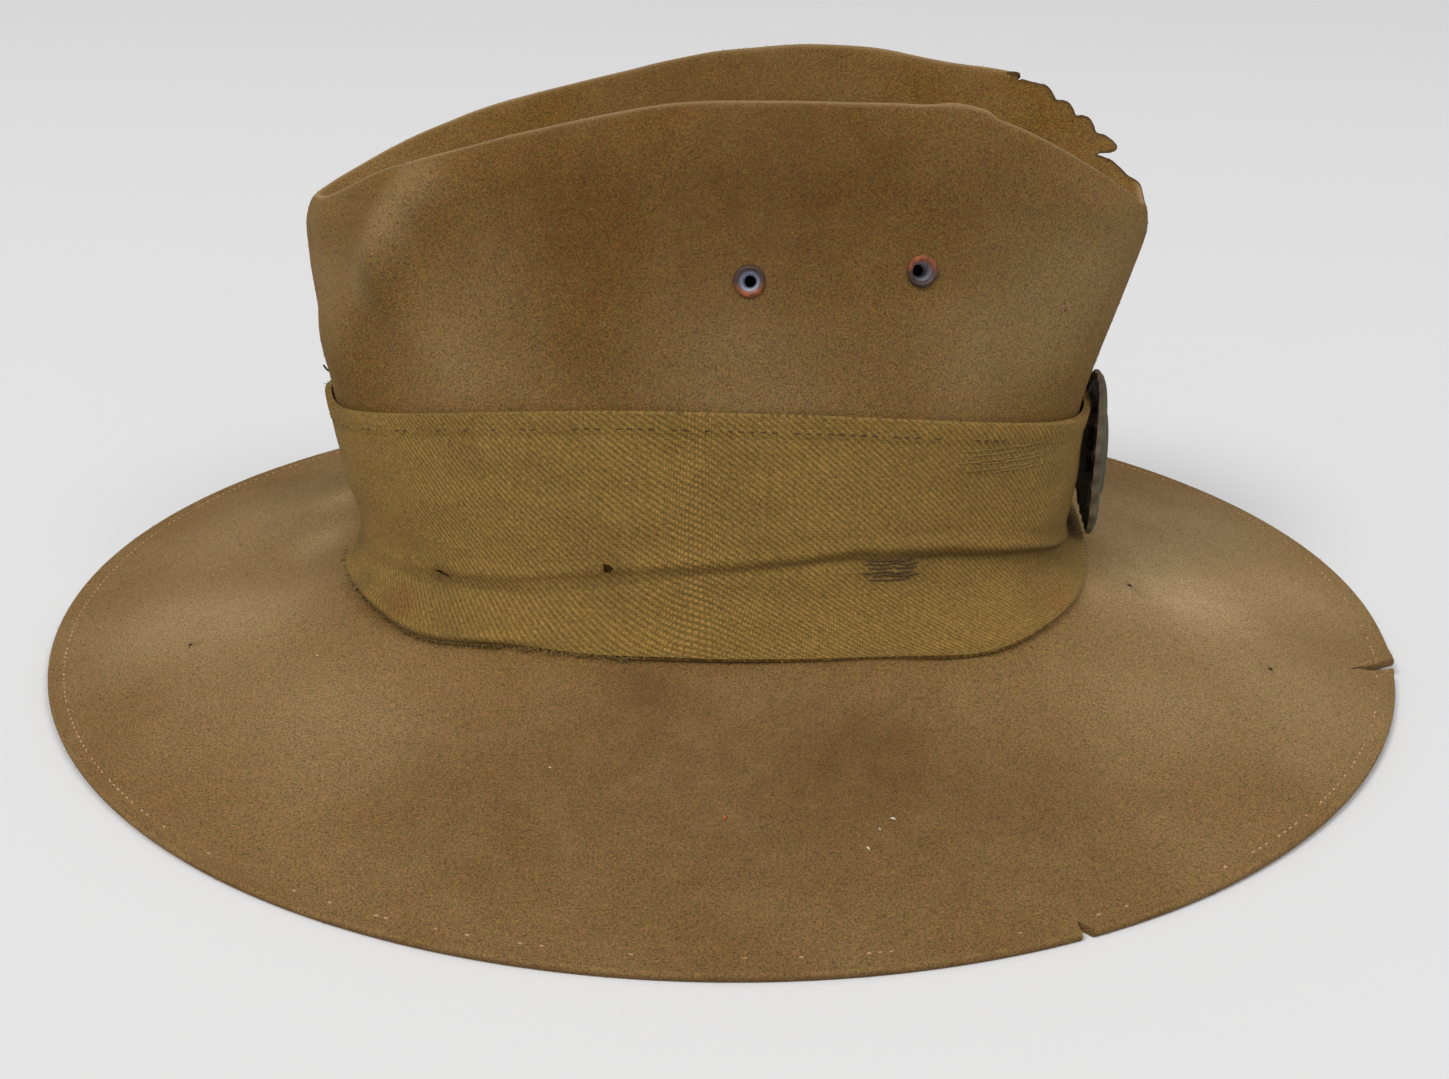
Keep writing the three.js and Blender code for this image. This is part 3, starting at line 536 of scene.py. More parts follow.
# %% Torn edge
TEAR_LENGTH, TEAR_DEPTH, TEAR_SLOPE = 36.0, 13.0, math.radians(13)
TEAR_SIDE, TEAR_BEHIND, TEAR_AHEAD, TEAR_BELOW = 0.31, 0.75, 0.16, 0.1
CREST_FRONT = 105.5
SCALLOPS = table(
    "at deep",
    (0.16, -0.8), (0.16, 0.2), (0.2, 0.26), (0.289, 0.329), (0.358, 0.367), (0.396, 0.462), (0.43, 0.63),
    (0.451, 0.652), (0.513, 0.687), (0.554, 0.82), (0.574, 0.948), (0.617, 0.938), (0.668, 0.995),
    (0.699, 1.129), (0.717, 1.262), (0.772, 1.31), (0.823, 1.391), (0.863, 1.51), (0.85, 1.605),
    (0.806, 1.652), (0.727, 1.677), (0.754, 1.719), (0.823, 1.795), (0.892, 1.963), (0.927, 2.062),
    (0.996, 2.176), (1.044, 2.344), (1.051, 2.481), (1.06, 2.56), (1.3, 2.9),
)
TEAR_BEYOND = ((2.0, -2.8), (2.0, 2.0))
TEAR_FINE = 4
FRAY_DEPTH, FRAY_SIZE = 0.15, 1 / 0.9


def smooth_line(points, steps):
    """A smooth curve through 2-D or 3-D points, with the same number of steps between each two."""
    p = np.asarray(points, float)
    p = np.concatenate([[2 * p[0] - p[1]], p, [2 * p[-1] - p[-2]]])
    t = np.arange(steps)[:, None] / steps
    parts = []
    for a, b, c, d in zip(p, p[1:], p[2:], p[3:]):
        bent = (c - a) * t + (2 * a - 5 * b + 4 * c - d) * t**2 + (3 * b - a - 3 * c + d) * t**3
        parts.append(0.5 * (2 * b + bent))
    return np.concatenate(parts + [p[-2:-1]])


def prism(name, outline, origin, right, up, depth_near, depth_far):
    """A straight cutter with the outline in the plane of right and up, from depth_near to depth_far."""
    right, up = np.asarray(right, float), np.asarray(up, float)
    forward = np.cross(up, right)
    flat = np.asarray(origin) + outline[:, :1] * right + outline[:, 1:] * up
    total = len(outline)
    points = np.concatenate([flat + forward * depth_near, flat + forward * depth_far])
    sides = [(k, (k + 1) % total, (k + 1) % total + total, k + total) for k in range(total)]
    faces = sides + [tuple(reversed(range(total))), tuple(range(total, 2 * total))]
    return face_outward(piece(name, points, faces))


corners = [(row["at"] * TEAR_LENGTH, -row["deep"] * TEAR_DEPTH) for row in SCALLOPS]
ragged = smooth_line(corners, TEAR_FINE)
ragged[:, 1] += noise_at(np.column_stack([ragged, 0 * ragged[:, 0]]), FRAY_SIZE) * FRAY_DEPTH
tear_outline = np.concatenate([ragged, [(x * TEAR_LENGTH, y * TEAR_DEPTH) for x, y in TEAR_BEYOND]])
tear_aside, tear_top = TEAR_SIDE * RIDGE_SPACING, CREST_HEIGHT - TEAR_BELOW * TEAR_DEPTH
tear_start = np.array([CREST_FRONT - TEAR_LENGTH, CROWN_OFFSET + tear_aside, tear_top])
tear_up = np.array([0, math.sin(TEAR_SLOPE), math.cos(TEAR_SLOPE)])
print("torn edge:", len(tear_outline), "corners")

# %% [markdown]
# The other cutters are plain shapes: a wedge for the slit and for the nick, a round rod for each vent
# eyelet, and a flat slot for each of the badge's two lugs. The slots are kept to cut the band as well.

# %% Cutting the felt
BARREL_RADIUS, HOLE_REACH = 2.8, 5
LUG_WIDTH, LUG_THICKNESS, LUG_SPACING = 5.0, 1.6, 17.0
BADGE_CENTRE_HEIGHT = 51.5
LUG_HEIGHTS = [BADGE_CENTRE_HEIGHT + end * LUG_SPACING / 2 for end in (-1, 1)]
SLOT_FRONT, SLOT_REAR = 104.0, 80.0
SHOULDER, SLIT_BOW = 0.6, 0.6


def middle_and_axis(node):
    """The middle of a packed round part in millimetres, and the way that it faces."""
    points = mesh_points(frame["nodes"][node])
    centre = points.mean(0)
    spread, ways = np.linalg.eigh(np.cov((points - centre).T))
    odd = 0 if spread[1] - spread[0] > spread[2] - spread[1] else 2
    return centre, ways[:, odd] * np.sign(ways[1, odd] * centre[1])


def wedge(name, angle, turn, length, width, bow=0.0):
    edge, way = edge_point(angle), inward_way(angle, turn)
    near_end = [(-length, -width / 2), (0, -width / 2)]
    tip = [(length * SHOULDER, -width / 4 - bow), (length, 0), (length * SHOULDER, width / 4 - bow)]
    outline = np.array(near_end + tip + [(x, -y) for x, y in near_end[::-1]])
    return prism(name, outline, edge, way, np.cross([0, 0, 1], way), -3 * FELT_THICKNESS, 3 * FELT_THICKNESS)


def rod(name, centre, axis, radius, half_length, sides=32):
    side = unit(np.cross(axis, [0, 0, 1]))
    return prism(name, circle(sides) * radius, centre, side, np.cross(axis, side), -half_length, half_length)


EYELETS = ["eyelet_right_rear", "eyelet_right_front", "eyelet_left_rear", "eyelet_left_front"]
tear_reach = (-TEAR_AHEAD * RIDGE_SPACING, TEAR_BEHIND * RIDGE_SPACING)
cutters = [
    prism("tear", tear_outline, tear_start, (1, 0, 0), tear_up, *tear_reach),
    wedge("slit", SLIT_ANGLE, SLIT_TURN, SLIT_LENGTH, SLIT_WIDTH, SLIT_BOW),
    wedge("nick", NICK_ANGLE, 0, NICK_LENGTH, NICK_WIDTH),
]
cutters += [rod("hole", *middle_and_axis(node), BARREL_RADIUS + CLEARANCE, HOLE_REACH) for node in EYELETS]
slot_outline = rectangle(LUG_WIDTH / 2 + CLEARANCE, LUG_THICKNESS / 2 + CLEARANCE)
slots = [
    prism("lug_slot", slot_outline, (0, CROWN_OFFSET, height), (0, 1, 0), (0, 0, 1), -SLOT_FRONT, -SLOT_REAR)
    for height in LUG_HEIGHTS
]


def cut_away(target, tools):
    for tool in tools:
        cut = target.modifiers.new("cut", "BOOLEAN")
        cut.operation = "DIFFERENCE"
        cut.solver = "MANIFOLD"
        cut.object = tool
    graph = bpy.context.evaluated_depsgraph_get()
    mesh = bpy.data.meshes.new_from_object(target.evaluated_get(graph))
    mesh.materials.clear()
    target.modifiers.clear()
    target.data = mesh
    print(target.name, "after cutting:", len(mesh.vertices), "points,", len(mesh.polygons), "faces")


cut_away(felt_hat, cutters + slots)
remove(cutters)

# %% [markdown]
# The band is one wide strip of cotton cloth pulled round the foot of the crown. It is made as a wall of its
# own, a little outside the felt, on a finer grid than the felt because its long creases are narrow.

# %% Path of the band
BAND_COLUMNS, BAND_RINGS = 540, 72
EDGE_WAVE = 2.4
BAND_LOW_WAVES = table("angle spread share", (-128, 16, 1), (-84, 9, 0.4), (-48, 16, 1), (100, 30, 0.5))
BAND_HIGH_WAVES = table(
    "angle spread share",
    (-172, 9, 0.9), (-120, 25, -0.3), (-60, 25, -0.2), (60, 30, 0.4),
)
BAND_SAG = table(
    "angle spread drop",
    (-122, 14, 2.0), (-96, 9, 1.9), (-58, 13, 1.5), (-25, 14, 1.0), (100, 30, 1.2), (170, 20, 0.8),
)
PATH_STEPS = 90
PATH_BELOW, PATH_ABOVE = 0.6, 0.05

band_angles = turns(BAND_COLUMNS)
band_degrees = np.degrees(band_angles)
foot_at, top_at = row_number("foot"), row_number("band_top")
path_positions = np.linspace(foot_at - PATH_BELOW, top_at + PATH_ABOVE, PATH_STEPS)
path = skin(path_positions, band_angles)
round_way = np.roll(path, -1, axis=1) - np.roll(path, 1, axis=1)
path_normal = unit(np.cross(round_way, np.gradient(path, axis=0)))
lengths = np.linalg.norm(np.diff(path, axis=0), axis=2)
travel = np.concatenate([np.zeros((1, BAND_COLUMNS)), np.cumsum(lengths, axis=0)])


def travel_to(position):
    return np.array([np.interp(position, path_positions, column) for column in travel.T])


def waves(rows, field):
    return sum(row[field] * bell(degrees_apart(band_degrees, row["angle"]) / row["spread"]) for row in rows)


foot_travel = travel_to(foot_at)
start = foot_travel + EDGE_WAVE * (1 - waves(BAND_LOW_WAVES, "share")) - waves(BAND_SAG, "drop")
finish = travel_to(top_at) - EDGE_WAVE * (1 - waves(BAND_HIGH_WAVES, "share"))
cloth_width = finish - start
print("band is", round(float(cloth_width.min()), 1), "to", round(float(cloth_width.max()), 1), "mm wide")

# %% [markdown]
# On that path the cloth has its relief: a long soft fold across the middle where the strip was once pressed
# double, a hem along the top, a rolled lower edge at the rear, a bulge behind the badge, and slack in the
# cloth between.

# %% Relief of the cloth
CLOTH_THICKNESS, LEAST_CLOTH = 1.3, 0.7
FOLD_LINE = table(
    "angle height strength",
    (-180, 34, 0.3), (-150, 33, 0.3), (-124, 36.0, 0.8), (-113, 37.6, 0.7), (-105, 39.9, 0.6),
    (-89, 44.7, 0.8), (-71, 48.2, 1.0), (-54, 46.5, 1.5), (-35, 41.0, 2.0), (-24, 37.0, 2.2),
    (-15, 34.0, 1.4), (-6, 32, 0.3),
    (20, 33, 0.4), (60, 38, 0.8), (90, 42, 1.0), (130, 40, 0.6), (180, 34, 0.3),
)
FOLD_STEP, FOLD_WIDTH, FOLD_LIP, FOLD_SINK = 0.55, 1.1, 0.5, 0.35
FOLD_FADE, FOLD_FADE_START, FOLD_FADE_END = 0.7, 4, 22
FOLD_LIP_OFF, FOLD_LIP_WIDTH = 1.6, 1.8
BULGE, BULGE_SPREAD, BULGE_HEIGHT, BULGE_REACH = 1.9, 20, 45, 13
ROLL_START, ROLL_GROWN, ROLL_FADING, ROLL_END = (angle % 360 for angle in (-172, -160, -114, -104))
ROLL_WIDTH, ROLL_RISE = 3.6, 1.5
HEM_WIDTH, HEM_RISE, HEM_EASE = 4.2, 0.45, 0.8
GROOVE_DEPTH, GROOVE_INSET, GROOVE_WIDTH = 0.25, 3.6, 0.5
SLACK_CLOTH, SLACK_CLOTH_SIZE, SLACK_FLATTENED = 0.45, 16, 2.2
EDGE_SOFT = 0.35

share = np.linspace(0, 1, BAND_RINGS)[:, None]
along_band = start + cloth_width * share


def on_path(values):
    """What the path has at each place along the cloth."""
    picked = np.empty((BAND_RINGS, BAND_COLUMNS, 3))
    for k in range(BAND_COLUMNS):
        for axis in range(3):
            picked[:, k, axis] = np.interp(along_band[:, k], travel[:, k], values[:, k, axis])
    return picked


base, out = on_path(path), unit(on_path(path_normal))
over_fold = base[:, :, 2] - read_at(FOLD_LINE, band_degrees, "height")
fading = 1 - FOLD_FADE * smooth_step(over_fold, FOLD_FADE_START, FOLD_FADE_END)
relief = FOLD_STEP * smooth_step(over_fold, -FOLD_WIDTH, FOLD_WIDTH) * fading
relief += FOLD_LIP * bell((over_fold - FOLD_LIP_OFF) / FOLD_LIP_WIDTH)
relief -= FOLD_SINK * bell((over_fold + FOLD_LIP_OFF) / FOLD_LIP_WIDTH)
relief *= read_at(FOLD_LINE, band_degrees, "strength")
bulge_share = bell(degrees_apart(band_degrees, 0) / BULGE_SPREAD)
relief += BULGE * bulge_share * bell((base[:, :, 2] - BULGE_HEIGHT) / BULGE_REACH)
rolled = smooth_step(band_degrees, ROLL_START, ROLL_GROWN)
rolled *= 1 - smooth_step(band_degrees, ROLL_FADING, ROLL_END)
across_roll = (along_band - start) / (ROLL_WIDTH / 2) - 1
relief += ROLL_RISE * rolled * np.sqrt(np.clip(1 - across_roll**2, 0, 1))
from_top = finish - along_band
relief += HEM_RISE * (1 - smooth_step(from_top, HEM_WIDTH, HEM_WIDTH + HEM_EASE))
relief -= GROOVE_DEPTH * bell((from_top - GROOVE_INSET) / GROOVE_WIDTH)
slack = noise_at(base.reshape(-1, 3) * (1, 1, SLACK_FLATTENED), SLACK_CLOTH_SIZE)
relief += SLACK_CLOTH * slack.reshape(relief.shape)
inside = base + out * CLEARANCE
outside = base + out * (CLEARANCE + np.maximum(CLOTH_THICKNESS + relief, LEAST_CLOTH))[:, :, None]
outside[0] += (base[1] - base[0]) * EDGE_SOFT
outside[-1] -= (base[-1] - base[-2]) * EDGE_SOFT
total = BAND_RINGS * BAND_COLUMNS
ring_ids = grid_ids(BAND_RINGS, BAND_COLUMNS)
band_faces = [ring_faces(ring_ids[q] + total, ring_ids[q + 1] + total) for q in range(BAND_RINGS - 1)]
band_faces += [ring_faces(ring_ids[q], ring_ids[q + 1], flip=True) for q in range(BAND_RINGS - 1)]
band_faces.append(ring_faces(ring_ids[0], ring_ids[0] + total))
band_faces.append(ring_faces(ring_ids[-1] + total, ring_ids[-1]))
band_points = np.concatenate([inside.reshape(-1, 3), outside.reshape(-1, 3)])
cloth_band = piece("cloth_band", band_points, np.concatenate(band_faces))
middle_ring = outside[BAND_RINGS // 2]
around = np.linalg.norm(np.roll(middle_ring, -1, axis=0) - middle_ring, axis=1).sum()
print("band girth:", round(float(around), 1), "mm")

# %% [markdown]
# A worn cloth has holes too. One moth hole and one short split lie on the fold line. They are cut like the
# slots for the badge's lugs, with thin ragged cutters that point at the crown. Before the cut the cloth
# gets a flat map in millimetres, round the crown and up from its foot, for the weave to follow.

# %% Holes in the band
BAND_HOLES = table(
    "name angle height long tall turn",
    ("moth_hole", -98.5, 43.6, 2.6, 3.0, 0),
    ("split", -126.0, 36.6, 5.5, 1.0, -12),
)
HOLE_CORNERS, HOLE_RAGGED, HOLE_MOST, HOLE_THROUGH = 18, 0.22, 1.5, 4
TWILL_REPEAT = 1.6


def between(rows, at):
    """What the rows have at a place such as 1.5, halfway from the second to the third."""
    low = min(int(at), len(rows) - 2)
    blend = at - low
    return rows[low] * (1 - blend) + rows[low + 1] * blend


def band_place(angle, height, lift=0.0):
    """The point on the cloth at an angle in degrees and a height, and the way that the cloth faces there."""
    column = (angle % 360) / 360 * BAND_COLUMNS
    left, part = int(column), column - int(column)
    right = (left + 1) % BAND_COLUMNS
    ways = out[:, left] * (1 - part) + out[:, right] * part
    points = outside[:, left] * (1 - part) + outside[:, right] * part
    row = np.interp(height, points[:, 2], np.arange(BAND_RINGS))
    way = unit(between(ways, row))
    return between(points, row) + way * lift, way


rng = np.random.default_rng(7)
for hole in BAND_HOLES:
    centre, way = band_place(hole["angle"], hole["height"])
    side = unit(np.cross([0, 0, 1], way))
    ragged_radius = 1 + HOLE_RAGGED * rng.standard_normal(HOLE_CORNERS).clip(-HOLE_MOST, HOLE_MOST)
    flat = circle(HOLE_CORNERS) * (hole["long"] / 2, hole["tall"] / 2) * ragged_radius[:, None]
    tilt = math.radians(hole["turn"])
    flat = flat @ np.array([[math.cos(tilt), math.sin(tilt)], [-math.sin(tilt), math.cos(tilt)]])
    slots.append(prism(hole["name"], flat, centre, side, np.cross(way, side), -HOLE_THROUGH, HOLE_THROUGH))

girth = TWILL_REPEAT * round(around / TWILL_REPEAT)
loop_points = np.array([loop.vertex_index for loop in cloth_band.data.loops]) % total
loop_ring, loop_column = np.divmod(loop_points, BAND_COLUMNS)
face_columns = loop_column.reshape(-1, 4)
wraps = (face_columns.max(1) - face_columns.min(1)) > BAND_COLUMNS / 2
loop_round = (face_columns + (face_columns == 0) * wraps[:, None] * BAND_COLUMNS).reshape(-1)
loop_up = (along_band - foot_travel)[loop_ring, loop_column]
weave_map = np.stack([loop_round / BAND_COLUMNS * girth, loop_up], axis=1)
cloth_band.data.uv_layers.new(name="weave").data.foreach_set("uv", weave_map.reshape(-1))
cut_away(cloth_band, slots)
remove(slots)

# %% [markdown]
# The marks of wear, with patches of painted shade and painted highlight, are painted as attributes, which the
# materials read. Most wear lies where the hat was handled or lay in the sun. Each mark is a soft round patch
# with a place, a size and a strength. A search tree tells for every point of the cut felt where on the first
# skin it was, and on which face of the wall.

# %% Wear, painted shade and painted highlight of the felt
# Pale patches, partly rubbed wear and partly painted highlight: the row along the rear fold's crest is
# painted highlight, and the patches low on the crown are partly painted light.
WEAR_AND_HIGHLIGHT_PATCHES = table(
    "x y z radius share",
    (127, -10, 15, 22, 1.0), (120, 20, 18, 20, 0.6), (133, 52, 8, 30, 0.75), (101, -24, 22, 12, 0.45),
    (150, -50, 8, 24, 0.35),
    (158, 10, 8, 22, 0.5), (112, -62, 12, 20, 0.3), (-114, 4, 16, 9, 0.6), (-115, 29, 17, 8, 0.5),
    (-140, 20, 9, 26, 0.4), (-120, -35, 13, 24, 0.4), (-145, -35, 7, 22, 0.35), (-90, -80, 12, 24, 0.25),
    (97, -28, 105, 24, 0.42), (72, -50, 96, 24, 0.4), (10, -58, 92, 24, 0.42),
    (-60, -50, 92, 20, 0.34), (-92, -5, 102, 20, 0.35),
    (-68, -30, 130, 7, 0.3), (-71, -32.5, 124, 6, 0.3), (-75, -33, 118, 6, 0.3), (-80, -32, 111, 6, 0.3),
    (-86, -29, 103, 6, 0.25), (60, 105, 9, 30, 0.3), (-60, 105, 9, 30, 0.3),
)
# Dark patches, partly real stains and partly painted shade: the darker top of the crown, the shade beside the
# rear fold and the front of the brim near the band are painted shade; the small flecks are dirt.
STAIN_AND_SHADE_PATCHES = table(
    "x y z radius share",
    (-12, -76, 19, 9, 0.7), (38, -91, 14, 20, 0.75), (15, -120, 9, 38, 0.5), (-40, -112, 10, 30, 0.35),
    (74, -108, 8, 30, 0.45), (0, -88, 16, 24, 0.4), (20, -45, 135, 34, 0.85), (-35, -44, 126, 30, 0.6),
    (66, -40, 130, 24, 0.5), (0, -52, 112, 26, 0.4), (0, 40, 138, 60, 0.55), (-80, -34, 106, 9, 0.3),
    (-62, -46, 108, 9, 0.2), (111, -14, 20, 1.6, 1.0), (143, -39, 10, 1.3, 1.0), (-133, -48, 11, 1.1, 0.9),
    (80, -48, 80, 12, 0.25),
)


def patches(points, rows):
    amount = np.zeros(len(points))
    for row in rows:
        away = np.linalg.norm(points - np.array([row["x"], row["y"], row["z"]]), axis=1)
        amount = 1 - (1 - amount) * (1 - row["share"] * bell(away / row["radius"]))
    return amount


def store(made, name, values):
    layer = made.data.attributes.new(name, "FLOAT", "POINT")
    layer.data.foreach_set("value", np.asarray(values, float))


TORN_WIDTH, TEAR_MARGIN, RIDGE_WIDTH, CROWN_BLEND = 0.6, 3, 0.14, 0.6
INSIDE_WORN, INSIDE_STAIN = 0.3, 0.55

cut_points = mesh_points(felt_hat)
first_skin = search_tree(np.concatenate([outer, inner]))
nearest = np.array([first_skin.find(p)[1] for p in cut_points])
is_inside = nearest >= skin_size
row_at = point_position[nearest % skin_size]
from_tear = cut_points - tear_start
in_tear = np.stack([from_tear[:, 0], from_tear @ tear_up], axis=1)
line_start, span = ragged[:-1], np.diff(ragged, axis=0)
torn = np.zeros(len(cut_points))
for k in np.nonzero((in_tear[:, 0] > -TEAR_MARGIN) & (cut_points[:, 2] > BAND_TOP))[0]:
    part = np.clip(np.sum((in_tear[k] - line_start) * span, axis=1) / np.sum(span**2, axis=1), 0, 1)
    gap = np.min(np.linalg.norm(line_start + span * part[:, None] - in_tear[k], axis=1))
    torn[k] = bell(gap / TORN_WIDTH)
# A pale line along both crests: rubbed wear and a painted highlight where the light grazes the ridge.
ridge = bell((row_at - row_number("crest")) / RIDGE_WIDTH) * ~is_inside
store(felt_hat, "crown", smooth_step(row_at, foot_at - CROWN_BLEND, foot_at + CROWN_BLEND))
# The pale patches hold rubbed wear and painted highlight; the dark patches hold real stains and painted
# shade.
store(felt_hat, "wear_and_highlight", patches(cut_points, WEAR_AND_HIGHLIGHT_PATCHES) * np.where(is_inside, INSIDE_WORN, 1))
store(felt_hat, "stain_and_shade", np.maximum(patches(cut_points, STAIN_AND_SHADE_PATCHES), INSIDE_STAIN * is_inside))
store(felt_hat, "torn", torn)
store(felt_hat, "ridge", ridge)
print("felt points near the tear:", int((torn > 0.3).sum()), "on the ridges:", int((ridge > 0.3).sum()))

# %% [markdown]
# All materials are worked out, without a picture. A few functions each add a common step to a material's
# nodes: a soft noise of one size, a painted attribute, a sum, a colour laid over another, a bump.

# %% Nodes for materials
def new_material(name):
    made = bpy.data.materials.new(name)
    made.use_nodes = True
    made.node_tree.nodes.clear()
    return made, made.node_tree


def noisy(tree, size, detail=2.0, roughness=0.5):
    """A soft noise of one size in millimetres, fixed to the piece."""
    place = add(tree, "ShaderNodeTexCoord").outputs["Object"]
    settings = {"Vector": place, "Scale": 1 / (size * MM), "Detail": detail, "Roughness": roughness}
    return add(tree, "ShaderNodeTexNoise", settings).outputs[0]


def painted(tree, name):
    return add(tree, "ShaderNodeAttribute", attribute_name=name).outputs["Fac"]


def reckon(tree, operation, *values):
    return add(tree, "ShaderNodeMath", dict(enumerate(values)), operation=operation).outputs[0]


def times(tree, first, second):
    return reckon(tree, "MULTIPLY", first, second)


def plus(tree, first, second):
    return reckon(tree, "ADD", first, second)


def ranged(tree, value, low, high, to_low=0.0, to_high=1.0):
    span = {"Value": value, "From Min": low, "From Max": high, "To Min": to_low, "To Max": to_high}
    return add(tree, "ShaderNodeMapRange", span).outputs[0]


def mix(tree, share, first, second, blend="MIX"):
    colours = {0: share, 6: first, 7: second}
    return add(tree, "ShaderNodeMix", colours, data_type="RGBA", blend_type=blend).outputs[2]


def layered(tree, base, *layers):
    """A base colour with others laid over it in turn, each a pair of its share and its colour."""
    for share, over in layers:
        base = mix(tree, share, base, over)
    return base


def grained(tree, tone, amount):
    grey = add(tree, "ShaderNodeCombineColor", {0: amount, 1: amount, 2: amount}).outputs[0]
    return mix(tree, 1.0, tone, grey, "MULTIPLY")


def bumped(tree, height, strength, depth):
    inputs = {"Height": height, "Strength": strength, "Distance": depth * MM}
    return add(tree, "ShaderNodeBump", inputs).outputs[0]


def surface(tree, inputs):
    shader = add(tree, "ShaderNodeBsdfPrincipled", inputs)
    add(tree, "ShaderNodeOutputMaterial", {"Surface": shader.outputs[0]})


print("node helpers ready")

# %% [markdown]
# Fur felt is rabbit or wool hair matted under steam and pressure. It has no weave: the eye reads a soft,
# speckled nap, darker where it is greasy and paler where it is rubbed or sun-bleached, and some dark and pale
# patches are painted shade and painted highlight. The material mixes the crown's and the brim's colours by
# the painted attributes, adds cloudy fading at 30 mm, blotches at 7 mm and a speckle of reddish and olive
# hairs.
# The speckle is about half a millimetre, coarser than real hair, so that it shows in the picture.

# %% Felt material
FELT_BRIM, FELT_CROWN = colour("#785A37"), colour("#67471C")
# The pale colour serves rubbed wear and painted highlight, the dark one stains and painted shade.
FELT_WEAR_AND_HIGHLIGHT, FELT_STAIN_AND_SHADE, FELT_TORN = colour("#B89D74"), colour("#482D12"), colour("#352417")
HAIR_RED, HAIR_OLIVE = colour("#7E4B20"), colour("#6C672C")

felt_material, tree = new_material("worn_fur_felt")
clouds, blotches = noisy(tree, 30, 3), noisy(tree, 7, 4, 0.6)
speckle, hairs = noisy(tree, 0.45, 2, 0.7), noisy(tree, 0.55)
hairy = layered(
    tree,
    mix(tree, painted(tree, "crown"), FELT_BRIM, FELT_CROWN),
    # pale patches: rubbed wear and painted highlight
    (times(tree, painted(tree, "wear_and_highlight"), ranged(tree, blotches, 0.3, 0.7, 0.55, 1.0)), FELT_WEAR_AND_HIGHLIGHT),
    (ranged(tree, clouds, 0.35, 0.7, 0.0, 0.12), FELT_WEAR_AND_HIGHLIGHT),
    (ranged(tree, blotches, 0.3, 0.7, 0.0, 0.16), FELT_STAIN_AND_SHADE),
    (ranged(tree, speckle, 0.5, 0.68, 0.0, 0.28), HAIR_RED),
    (ranged(tree, hairs, 0.48, 0.66, 0.0, 0.5), HAIR_OLIVE),
)
felt_colour = layered(
    tree,
    grained(tree, hairy, ranged(tree, speckle, 0.25, 0.75, 0.3, 1.7)),
    # dark patches: real stains and painted shade
    (times(tree, painted(tree, "stain_and_shade"), ranged(tree, blotches, 0.3, 0.7, 0.5, 0.75)), FELT_STAIN_AND_SHADE),
    # pale line on the ridges: rubbed wear and painted highlight
    (times(tree, painted(tree, "ridge"), 0.4), FELT_WEAR_AND_HIGHLIGHT),
    (times(tree, painted(tree, "torn"), 0.8), FELT_TORN),
)
surface(tree, {
    "Base Color": felt_colour,
    "Normal": bumped(tree, plus(tree, speckle, times(tree, blotches, 1.6)), 0.55, 0.3),
    "Roughness": 0.95,
    "Specular IOR Level": 0.15,
    "Sheen Weight": 0.05,
    "Sheen Roughness": 0.6,
    "Sheen Tint": colour("#A58A66"),
})
felt_hat.data.materials.append(felt_material)
print(felt_material.name, "has", len(tree.nodes), "nodes")

# %% [markdown]
# The band is cotton woven as a two-and-two twill: each thread passes over two and under two, one step along
# at each row, which draws slanting ribs. The pattern is worked out from the thread count on the band's own
# unrolled map, so the ribs follow the cloth round the hat. Old dye has gone from khaki to ochre, with olive
# in places, and a painted shadow darkens the cloth under the long fold.

# %% Cloth material
THREAD = TWILL_REPEAT / 4
CLOTH_OCHRE, CLOTH_OLIVE, CLOTH_DARK = colour("#9A763B"), colour("#80662F"), colour("#54401F")
CLOTH_RUST, CLOTH_GAP = colour("#7A4A26"), colour("#3E3119")


def thread_tone(tree, thread, scale):
    settings = {"W": thread, "Scale": scale, "Detail": 1.0}
    return add(tree, "ShaderNodeTexNoise", settings, noise_dimensions="1D").outputs[0]


cloth_material, tree = new_material("faded_cotton_twill")
weave = add(tree, "ShaderNodeUVMap", uv_map="weave").outputs[0]
across = add(tree, "ShaderNodeSeparateXYZ", {0: weave}).outputs
wander = add(tree, "ShaderNodeTexNoise", {"Vector": weave, "Scale": 0.05, "Detail": 2.0}).outputs[1]
sway = add(tree, "ShaderNodeSeparateXYZ", {0: wander}).outputs
warp, weft = (plus(tree, times(tree, across[k], 1 / THREAD), sway[k]) for k in (0, 1))
warp_cell, weft_cell = (reckon(tree, "FLOOR", way) for way in (warp, weft))
arches = (reckon(tree, "SINE", times(tree, reckon(tree, "FRACT", way), math.pi)) for way in (warp, weft))
warp_arch, weft_arch = arches
step_along = reckon(tree, "FLOORED_MODULO", plus(tree, warp_cell, weft_cell), 4.0)
warp_over = reckon(tree, "LESS_THAN", step_along, 1.5)
over = add(tree, "ShaderNodeMix", {0: warp_over, 2: times(tree, weft_arch, 0.85), 3: warp_arch}).outputs[0]
rib = reckon(tree, "SINE", times(tree, plus(tree, warp, weft), math.pi / 2))
tones = plus(tree, thread_tone(tree, warp_cell, 0.37), thread_tone(tree, weft_cell, 0.41))
fuzz = noisy(tree, 0.7, 3)
